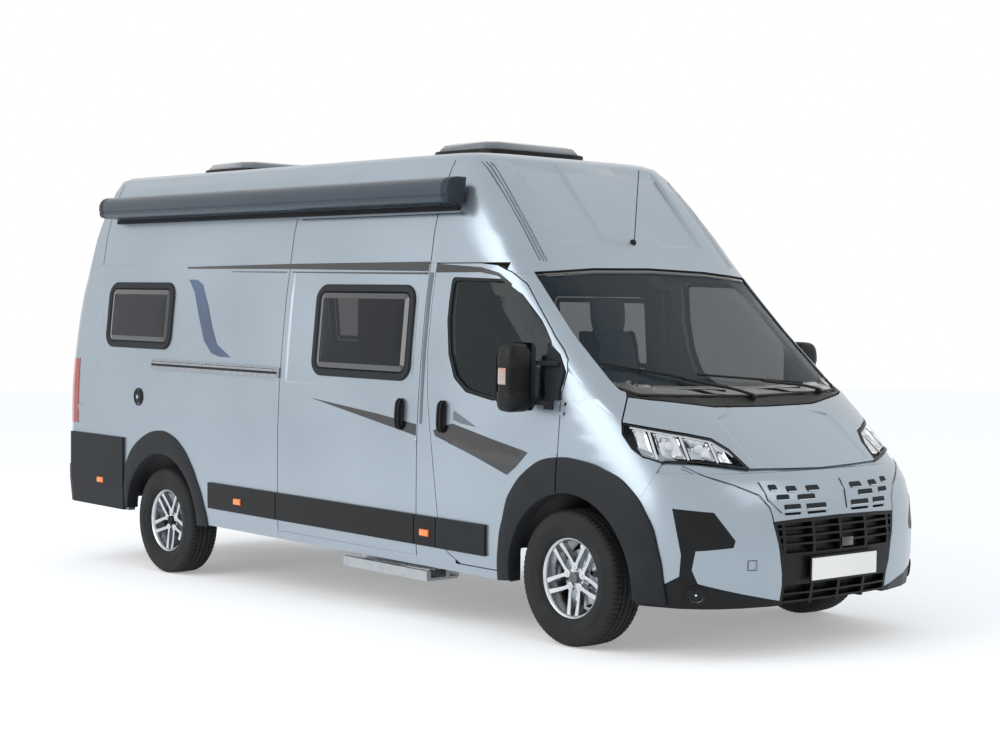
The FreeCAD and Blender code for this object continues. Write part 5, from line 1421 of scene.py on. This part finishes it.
# Door mirrors: a black moulded head with a domed cap, a ribbed waist and a full lower shell, on
# two arms from the corner plate of the door. The head is swept up through rounded outlines, and
# the arms, corner plate and rub strip keep the CAD shape with the head trimmed off.
mirror_centre = (-0.264, 1.163)
mirror_half = (0.073, 0.088)
mirror_low, mirror_high = 1.214, 1.576
mirror_levels = [(0.000, 0.30, 0.50), (0.012, 0.58, 0.74), (0.035, 0.80, 0.89),
                 (0.08, 0.94, 0.97), (0.15, 1.00, 1.00), (0.26, 1.00, 1.00),
                 (0.290, 0.985, 0.990), (0.296, 0.93, 0.955)]
ribs = 10
for rib in range(ribs):
    share = 0.315 + 0.33 * rib / ribs
    mirror_levels += [(share, 0.93, 0.955), (share + 0.006, 0.90, 0.935),
                      (share + 0.020, 0.90, 0.935), (share + 0.026, 0.93, 0.955)]
mirror_levels += [(0.668, 0.93, 0.955), (0.676, 0.975, 0.985), (0.72, 0.99, 0.99),
                  (0.80, 0.975, 0.97), (0.88, 0.91, 0.92), (0.94, 0.79, 0.82), (0.975, 0.62, 0.68),
                  (0.993, 0.42, 0.50), (1.0, 0.22, 0.30)]
mirror_sides = 40
strip_top, flare_rear = 0.60, -0.55
arms_low, arms_rear, arms_out = 1.17, -0.62, 1.105
mirror_roundness = 3.4
pane_inner, pane_outer, pane_corner = 1.082, 1.244, 0.03
indicator_shares, indicator_points = (0.40, 0.42, 0.62, 0.64), slice(8, 16)
indicator_lens = mix_finish("mirror_indicator", (150, 152, 154), (196, 120, 62), 0.15,
                            coat=1.0, drift=9.0)
mirror_glass = mix_finish("mirror_glass", (170, 180, 188), (180, 188, 196), 0.04,
                          metallic=1.0)


def squared_oval(half_a, half_b, roundness, sides):
    """Points (a, b) round an oval that is drawn out towards its corners."""
    points = []
    for c, s in circle(1.0, sides):
        r = (abs(c) ** roundness + abs(s) ** roundness) ** (-1 / roundness)
        points.append((half_a * c * r, half_b * s * r))
    return points


def mirror_outline(size_x, size_y, z, sign):
    """Rounded outline of the mirror head at one height."""
    oval = squared_oval(mirror_half[0] * size_x, mirror_half[1] * size_y, mirror_roundness,
                        mirror_sides)
    return [stand(mirror_centre[0] + a, sign * (mirror_centre[1] + b), z) for a, b in oval]


def split_fittings(node):
    """The door's rub strip, corner plate and mirror arms, without the head, flare or handle."""
    bm = welded_panel(node)
    cut_off = []
    for face in bm.faces:
        x, _, z = face.calc_center_median()
        strip = z < strip_top and x < flare_rear
        arms = z > arms_low and x > arms_rear
        if not strip and not arms:
            cut_off.append(face)
    bmesh.ops.delete(bm, geom=cut_off, context="FACES")
    for sign in (-1, 1):
        cut_whole(bm, (0, sign * arms_out, 0), (0, sign, 0), clear_outer=True)
    return bm


for side, sign in both_sides:
    body = f"front_door_{side}"
    trim = make_object(f"door_trim_{side}",
                       close_panel(split_fittings(f"door_fittings_{side}"), "door_trim"),
                       [dark_plastic], body, "grey_plastic", rounding=0.003)
    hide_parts(f"door_fittings_{side}")
    rows = [mirror_outline(sx, sy, mirror_low + share * (mirror_high - mirror_low), sign)
            for share, sx, sy in mirror_levels]
    head = ring_mesh("mirror_head", rows)
    cap_rows(head, (0, mirror_sides), (mirror_sides * (len(rows) - 1), mirror_sides))
    make_object(f"mirror_head_{side}", head, [black_plastic], body, sharp=math.radians(35))
    rear_x = mirror_centre[0] - mirror_half[0]
    for name, inset, lift, finish in (("mirror_rim", 0.014, -0.004, black_plastic),
                                      ("mirror_pane", 0.022, -0.0055, mirror_glass)):
        outline = rounded_outline(pane_inner + inset, pane_outer - inset,
                                  mirror_low + 0.03 + inset, mirror_high - 0.035 - inset,
                                  pane_corner, 6)
        lay_patch(f"{name}_{side}", [(sign * a, b) for a, b in outline],
                  lambda a, b, rise: stand(rear_x + rise, a, b), finish, body,
                  lift=lift, thickness=0.003)
    lens_rows = []
    for share in indicator_shares:
        z = mirror_low + share * (mirror_high - mirror_low)
        edge = share in (indicator_shares[0], indicator_shares[-1])
        grow = 0.99 if edge else 1.015
        ring = mirror_outline(0.93 * grow, 0.955 * grow, z, sign)
        lens_rows.append(ring[indicator_points])
    make_object(f"mirror_indicator_{side}", sheet_mesh("mirror_indicator", lens_rows),
                [indicator_lens], body, "lamp_glass")


# Awning: a painted aluminium case bolted along the roof's right side, with a lead rail at its
# lower front, cast end caps and a flat adapter behind. The case is one section drawn along the
# van, and the caps stand a little proud of it.
awning_paint = mix_finish("awning_dark_paint", (42, 56, 68), (48, 63, 75), 0.38,
                          metallic=0.5, coat=0.4, drift=1.5, grain=1800.0, depth=0.00005)
awning_cap_plastic = mix_finish("awning_cap", (34, 42, 51), (40, 49, 58), 0.45,
                                drift=8.0, grain=1100.0, depth=0.0001)
awning_section = [
    (0.872, 2.488), (0.930, 2.4895), (0.962, 2.486), (0.988, 2.476), (1.006, 2.458),
    (1.016, 2.434), (1.0185, 2.408), (1.0155, 2.386), (1.010, 2.384), (1.010, 2.378),
    (1.0145, 2.376), (1.012, 2.360), (1.003, 2.349), (0.985, 2.343), (0.950, 2.341),
    (0.890, 2.341)]
awning_rear, awning_front, cap_long = -4.948, -1.022, 0.060


def draw_along(name, section, stations, finish, slot):
    """A section of (y, z) points on the right side, drawn along the van through stations of
    (x, grow)."""
    middle_y = sum(p[0] for p in section) / len(section)
    middle_z = sum(p[1] for p in section) / len(section)
    rows = []
    for x, grow in stations:
        rows.append([stand(x, -(middle_y + (y - middle_y) * grow),
                           middle_z + (z - middle_z) * grow) for y, z in section])
    mesh = ring_mesh(name, rows)
    count = len(section)
    cap_rows(mesh, (0, count), (count * (len(rows) - 1), count))
    return make_object(name, mesh, [finish], "body", slot, sharp=math.radians(24))


case = draw_along("awning_case", awning_section,
                  [(awning_rear + cap_long, 1.0), (awning_front - cap_long, 1.0)], awning_paint,
                  "awning_paint")
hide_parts("awning")
for name, first, last in (("awning_cap_rear", awning_rear, awning_rear + cap_long),
                          ("awning_cap_front", awning_front, awning_front - cap_long)):
    inward = 0.012 if last > first else -0.012
    draw_along(name, awning_section, [(first, 0.90), (first + inward * 0.35, 0.975),
                                      (first + inward, 1.01), (last, 1.01), (last, 0.995)],
               awning_cap_plastic, "awning_paint")
lay_line("awning_adapter", [(-4.90, 2.318), (-1.06, 2.318)], 0.030,
         lambda x, z, lift: stand(x, -(side_y(x, z) + 0.006), z), dark_plastic)
gutter = [(0.905, 2.296), (0.925, 2.296), (0.925, 2.286), (0.905, 2.286)]
draw_along("roof_gutter", gutter, [(-2.60, 1.0), (-1.02, 1.0)], grey_film_and_groove_shade, "black_plastic")


# Roof lights: two smoked acrylic domes hinged on black frames that are screwed to the roof. Each
# dome keeps its CAD block, with wide rounded edges, over a frame of four rounded outlines.
roof_light_acrylic = mix_finish("roof_light_acrylic", (52, 68, 82), (60, 78, 92), 0.18,
                                coat=1.0, drift=1.6, grain=700.0)
recast("roof_lights", "roof_light_domes", roof_light_acrylic, "roof_light_cover", 0.016)
roof_light_fronts, roof_light_half = (-1.375, -4.000), 0.2825
frame_half, frame_roundness = (0.2975, 0.412), 7
frame_levels = [(0.0, 2.655), (0.0, 2.700), (-0.012, 2.705), (-0.030, 2.705)]
for number, front in enumerate(roof_light_fronts):
    rows = []
    for grow, z in frame_levels:
        oval = squared_oval(frame_half[0] + grow, frame_half[1] + grow, frame_roundness, 48)
        rows.append([stand(front - roof_light_half + a, b, z) for a, b in oval])
    make_object(f"roof_light_frame_{number}", ring_mesh("roof_light_frame", rows),
                [black_plastic])


# Wipers, antenna and brow trim: two black steel arms with jointed blades that park along the
# glass, a rod antenna on the brow, a camera housing behind the glass, and three fine grooves up
# each edge of the brow, drawn as thin grey lines of painted shade.
wiper_lines = [((0.394, -0.040, 1.301), (0.252, -0.454, 1.393), (0.067, -0.864, 1.464)),
               ((0.348, 0.569, 1.320), (0.282, 0.152, 1.374), (0.240, -0.311, 1.406))]
wiper_off_glass = Vector((0.014, 0, 0.010))
for number, (hub, mid, tip) in enumerate(wiper_lines):
    hub, mid, tip = (Vector(p) + wiper_off_glass for p in (hub, mid, tip))
    knee = hub.lerp(mid, 0.25) + Vector((0.010, 0, 0.010))
    tube_through(f"wiper_arm_{number}", [body_place @ p for p in
                                         (hub, knee, hub.lerp(mid, 0.7), mid)],
                 0.008, black_plastic)
    start = mid.lerp(tip, -0.72)
    blade = [start, start.lerp(tip, 0.33), start.lerp(tip, 0.66), tip]
    blade = [Vector((nose_x(p.y, p.z) + 0.010, p.y, p.z + 0.004)) for p in blade]
    tube_through(f"wiper_blade_{number}", [body_place @ p for p in blade], 0.0065, seal_rubber)
    turned_disc(f"wiper_hub_{number}", body_place @ (hub - Vector((0.012, 0, 0.014))),
                Vector((0.5, 0, 0.86)),
                [(0.020, -0.01), (0.020, 0.014), (0.015, 0.020), (0.0, 0.022)], black_plastic,
                sides=28)
rod = [stand(x, 0, z) for x, z in ((-0.556, 2.150), (-0.545, 2.35), (-0.531, 2.556))]
tube_through("antenna_rod", rod, 0.0028, black_plastic)
turned_disc("antenna_foot", stand(-0.566, 0, 2.143), Vector((0.88, 0, 0.47)),
            [(0.020, -0.006), (0.019, 0.006), (0.012, 0.014), (0.0, 0.016)], black_plastic,
            sides=32)
for side, sign in both_sides:
    for number, spread in enumerate((-0.020, 0.0, 0.020)):
        line = [(sign * (0.717 + spread), 2.585), (sign * (0.742 + spread), 2.30),
                (sign * (0.762 + spread), 2.02)]
        # Thin grey lines of painted shade stand for the grooves; no groove is cut.
        lay_line(f"brow_groove_{side}_{number}", line, 0.0045, on_nose, grey_film_and_groove_shade, "body",
                 "body_paint", lift=0.0012)
lay_patch("camera_housing", [(-0.075, 1.885), (0.075, 1.885), (0.055, 1.985), (-0.055, 1.985)],
          on_nose, black_plastic, lift=-0.030, thickness=0.025, rounding=0.004)


# Cab seats and living-space cushions: foam under woven grey fabric with darker sides. Each soft
# solid is remeshed finely, blown up slightly as cloth so that it crowns between its edges, and
# given a smoothing level; the bases under them are steel boxes.
seat_cloth = mix_finish("seat_cloth", (112, 118, 124), (126, 131, 136), 0.9, drift=9.0,
                        grain=420.0, depth=0.0012)
seat_side_cloth = mix_finish("seat_side_cloth", (52, 58, 64), (62, 68, 73), 0.9,
                             drift=9.0, grain=420.0, depth=0.0012)
cushion_cloth = mix_finish("cushion_cloth", (150, 148, 142), (162, 160, 153), 0.92,
                           drift=6.0, grain=380.0, depth=0.0012)
swell_limit, swell_pressure, swell_frames = 0.022, 4.0, 20
remesh_size = 0.020


def islands(node):
    """A node's separate solids in the level frame, from front to rear and left to right."""
    whole = welded_panel(node)
    whole.verts.index_update()
    whole.verts.ensure_lookup_table()
    left, found = set(range(len(whole.verts))), []
    while left:
        stack, group = [min(left)], {min(left)}
        while stack:
            for edge in whole.verts[stack.pop()].link_edges:
                for point in edge.verts:
                    if point.index not in group:
                        group.add(point.index)
                        stack.append(point.index)
        left -= group
        middle = sum((whole.verts[i].co for i in sorted(group)), Vector()) / len(group)
        found.append((-round(middle.x, 2), -middle.y, group))
    parts = []
    for _, _, group in sorted(found, key=lambda row: row[:2]):
        part = whole.copy()
        part.verts.ensure_lookup_table()
        bmesh.ops.delete(part, geom=[v for v in part.verts if v.index not in group],
                         context="VERTS")
        parts.append(part)
    whole.free()
    return parts


def make_padded(name, bm, finishes, pick):
    """A padded piece blown up from a solid; pick(place, middle) gives the finish of each face."""
    pad = show(name, close_panel(bm, name))
    remesh = pad.modifiers.new("even skin", "REMESH")
    remesh.mode = "VOXEL"
    remesh.voxel_size = remesh_size
    even = evaluated(pad)
    pad.modifiers.remove(remesh)
    pad.data = even
    at_rest = [v.co.copy() for v in even.vertices]
    cloth = pad.modifiers.new("swell", "CLOTH")
    cloth.settings.use_pressure = True
    cloth.settings.uniform_pressure_force = swell_pressure
    cloth.settings.effector_weights.gravity = 0.0
    cloth.point_cache.frame_start, cloth.point_cache.frame_end = 1, swell_frames
    for step in range(1, swell_frames + 1):
        bpy.context.scene.frame_set(step)
    swollen = bpy.data.meshes.new_from_object(
        pad.evaluated_get(bpy.context.evaluated_depsgraph_get()))
    pad.modifiers.remove(cloth)
    for point, start in zip(swollen.vertices, at_rest):
        shift = point.co - start
        if shift.length > swell_limit:
            point.co = start + shift.normalized() * swell_limit
    pad.data = swollen
    bpy.context.scene.frame_set(1)
    smooth = pad.modifiers.new("even out", "SMOOTH")
    smooth.factor = 0.5
    smooth.iterations = 3
    finer = pad.modifiers.new("finer", "SUBSURF")
    finer.levels = finer.render_levels = 1
    for finish in finishes:
        pad.data.materials.append(finish)
    low = Vector([min(v.co[i] for v in pad.data.vertices) for i in range(3)])
    high = Vector([max(v.co[i] for v in pad.data.vertices) for i in range(3)])
    for face in pad.data.polygons:
        face.use_smooth = True
        face.material_index = pick(face.center, (low + high) / 2)
    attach(pad, "body")
    return pad


def seat_finish(place, middle):
    return 0 if abs(place.y - middle.y) < 0.15 else 1


for number, part in enumerate(islands("cab_seats")):
    pad = make_padded(f"cab_seat_{number}", part, [seat_cloth, seat_side_cloth],
                      seat_finish)
    if number == 0:
        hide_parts("cab_seats")
for number, part in enumerate(islands("cushions")):
    pad = make_padded(f"living_cushion_{number}", part, [cushion_cloth],
                      lambda place, middle: 0)
    if number == 0:
        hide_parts("cushions")


# Cab inside: a grained dark dash with an instrument hood and round vents, and a leather
# steering wheel with three spokes. The dash keeps its CAD block with softened edges.
dash_plastic = mix_finish("dash_plastic", (34, 37, 41), (42, 45, 50), 0.6, drift=7.0,
                          grain=700.0, depth=0.0004)
wheel_leather = mix_finish("wheel_leather", (20, 21, 23), (27, 28, 30), 0.55, drift=12.0,
                           grain=520.0, depth=0.0004)
recast("dashboard", "dash_moulding", dash_plastic, "dash_plastic", 0.018)
low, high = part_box("dashboard")
wheel_low, wheel_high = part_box("steering_wheel")
wheel_y = (wheel_low.y + wheel_high.y) / 2
hood_half, hood_rise, hood_steps = 0.20, 0.075, 12
hood = []
for i in range(hood_steps + 1):
    a = math.pi * i / hood_steps
    hood.append((wheel_y + hood_half * math.cos(a), high.z - 0.03 + hood_rise * math.sin(a)))
rows = [[Vector((x, y, z)) for y, z in hood] for x in (low.x + 0.02, low.x + 0.05, low.x + 0.26)]
bm, made = sheet_rows(rows)
bm.faces.new(made[-1])
hood_shell = make_object("instrument_hood", as_mesh(bm, "instrument_hood"), [dash_plastic],
                         slot="dash_plastic")
thicken(hood_shell, 0.006, offset=-1.0)
for number, y in enumerate((0.74, 0.12, -0.12, -0.74)):
    turned_disc(f"dash_vent_{number}", Vector((low.x + 0.012, y, high.z - 0.10)),
                Vector((-0.94, 0, 0.34)), [(0.048, -0.02), (0.048, 0.008), (0.040, 0.012),
                                           (0.036, 0.004), (0.012, 0.002), (0.0, 0.003)],
                black_plastic, sides=32)
wheel_axis = Vector((-0.87, 0, 0.49)).normalized()
wheel_centre = Vector((wheel_low.x + 0.105, wheel_y, (wheel_low.z + wheel_high.z) / 2 + 0.005))
ring_radius, grip_radius = 0.186, 0.0145
across = Vector((0, 1, 0))
upward = across.cross(wheel_axis).normalized()
rows = []
for a, b in circle(1.0, 64):
    out = across * a + upward * b
    rows.append([wheel_centre + out * (ring_radius + c) + wheel_axis * d
                 for c, d in circle(grip_radius, 14)])
rim = make_object("steering_rim", ring_mesh("steering_rim", rows, close_rows=True),
                  [wheel_leather], "body", "dash_plastic")
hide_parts("steering_wheel")
for number, a in enumerate((0.0, math.pi, -math.pi / 2)):
    out = across * math.cos(a) + upward * math.sin(a)
    tube_through(f"steering_spoke_{number}", [wheel_centre - wheel_axis * 0.018,
                                              wheel_centre + out * 0.09 - wheel_axis * 0.014,
                                              wheel_centre + out * 0.180], 0.013,
                 black_plastic, "body", "dash_plastic")
turned_disc("steering_boss", wheel_centre - wheel_axis * 0.03, wheel_axis,
            [(0.040, -0.10), (0.050, 0.0), (0.068, 0.010), (0.066, 0.026), (0.045, 0.033),
             (0.0, 0.035)], dash_plastic, "dash_plastic", sides=40)


# Step, furniture, underbody and running gear: an aluminium step under the sliding door, light
# wood cabinets, and painted steel or cast parts below. They keep their CAD shapes, each with its
# own finish.
step_aluminium = mix_finish("step_aluminium", (168, 173, 176), (182, 186, 188), 0.34,
                            metallic=1.0, drift=20.0, grain=1200.0, depth=0.0002)
cabinet_wood = mix_finish("cabinet_wood", (176, 148, 116), (192, 165, 132), 0.5,
                          drift=5.0, grain=90.0, depth=0.0002)
underbody_paint = mix_finish("underbody_paint", (24, 26, 28), (36, 38, 40), 0.7,
                             drift=4.0, grain=500.0, depth=0.0004)
engine_metal = mix_finish("engine_metal", (96, 98, 100), (120, 121, 122), 0.5,
                          metallic=0.8, drift=8.0, grain=400.0, depth=0.0005)
for node, finish in (("entry_step", step_aluminium), ("furniture", cabinet_wood),
                     ("seat_bases", underbody_paint), ("floor_pan", underbody_paint),
                     ("front_subframe", underbody_paint), ("rear_axle", underbody_paint),
                     ("underbody_tanks", underbody_paint), ("firewall", underbody_paint),
                     ("engine_block", engine_metal), ("radiator", engine_metal),
                     ("knuckle_left", engine_metal), ("knuckle_right", engine_metal)):
    holder = frame["nodes"][node]
    for material_slot in holder.material_slots:
        material_slot.material = finish
low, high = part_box("entry_step")
rib_step = 0.035
for number in range(5):
    y = low.y + rib_step + number * rib_step
    tube_through(f"step_rib_{number}", [Vector((low.x + 0.02, y, low.z + 0.0625)),
                                        Vector(((low.x + high.x) / 2, y, low.z + 0.0615)),
                                        Vector((high.x - 0.02, y, low.z + 0.0605))], 0.004,
                 bright_metal, "body", "step_metal")


# Floor, light and camera: a plain pale floor, a soft even sky and two broad lamps, seen from the
# photograph's place ahead and to the right of the van.
floor_half = 40.0
floor_corners = [(a * floor_half, b * floor_half, 0)
                 for a, b in ((-1, -1), (1, -1), (1, 1), (-1, 1))]
floor_mesh = mesh_of("studio_floor", floor_corners, [(0, 1, 2, 3)])
studio_floor = show("studio_floor", floor_mesh)
floor_finish = mix_finish("studio_floor", (238, 238, 239), (240, 240, 241), 0.9)
dial(floor_finish.node_tree.nodes["Principled BSDF"],
     {"Emission Color": (1.0, 1.0, 1.0, 1.0), "Emission Strength": 0.31,
      "Specular IOR Level": 0.0})
floor_mesh.materials.append(floor_finish)
world = bpy.data.worlds.new("studio")
world.use_nodes = True
nodes, links = world.node_tree.nodes, world.node_tree.links
sky = nodes["Background"]
dial(sky, {"Color": (0.93, 0.97, 1.0, 1.0), "Strength": 0.80})
seen = nodes.new("ShaderNodeBackground")
dial(seen, {"Color": (1.0, 1.0, 1.0, 1.0), "Strength": 1.0})
path = nodes.new("ShaderNodeLightPath")
either, through = nodes.new("ShaderNodeMath"), nodes.new("ShaderNodeMath")
either.operation = through.operation = "MAXIMUM"
blend = nodes.new("ShaderNodeMixShader")
wire(links, (path, "Is Camera Ray", either, 0), (path, "Is Glossy Ray", either, 1),
     (either, 0, through, 0), (path, "Is Transmission Ray", through, 1),
     (through, 0, blend, 0), (sky, 0, blend, 1), (seen, 0, blend, 2),
     (blend, 0, nodes["World Output"], "Surface"))
bpy.context.scene.world = world


def hang_lamp(name, place, aim, size, power):
    """A broad soft lamp that points at a place."""
    light = bpy.data.lights.new(name, "AREA")
    light.size = size
    light.energy = power
    lamp_object = show(name, light)
    lamp_object.location = place
    lamp_object.rotation_euler = (Vector(aim) - Vector(place)).to_track_quat("-Z", "Y").to_euler()


hang_lamp("side_lamp", (-1.5, -10.0, 6.0), (-0.5, 0, 1.2), 9.0, 560.0)
hang_lamp("front_lamp", (9.0, 3.0, 6.0), (2.0, 0, 1.2), 5.0, 60.0)
camera_data = bpy.data.cameras.new("photo_camera")
camera_data.sensor_width = 36.0
camera_data.lens = 66.52
camera_place = (9.195, -7.588, 1.616)
camera_yaw, camera_pitch, camera_roll = (math.radians(a) for a in (41.16, 1.168, 0.014))
look = Vector((-math.cos(camera_yaw) * math.cos(camera_pitch),
               math.sin(camera_yaw) * math.cos(camera_pitch), -math.sin(camera_pitch)))
camera = show("photo_camera", camera_data)
camera.matrix_world = (Matrix.Translation(camera_place)
                       @ look.to_track_quat("-Z", "Y").to_matrix().to_4x4()
                       @ Matrix.Rotation(camera_roll, 4, "Z"))
bpy.context.scene.camera = camera
bpy.context.scene.view_settings.view_transform = "Standard"
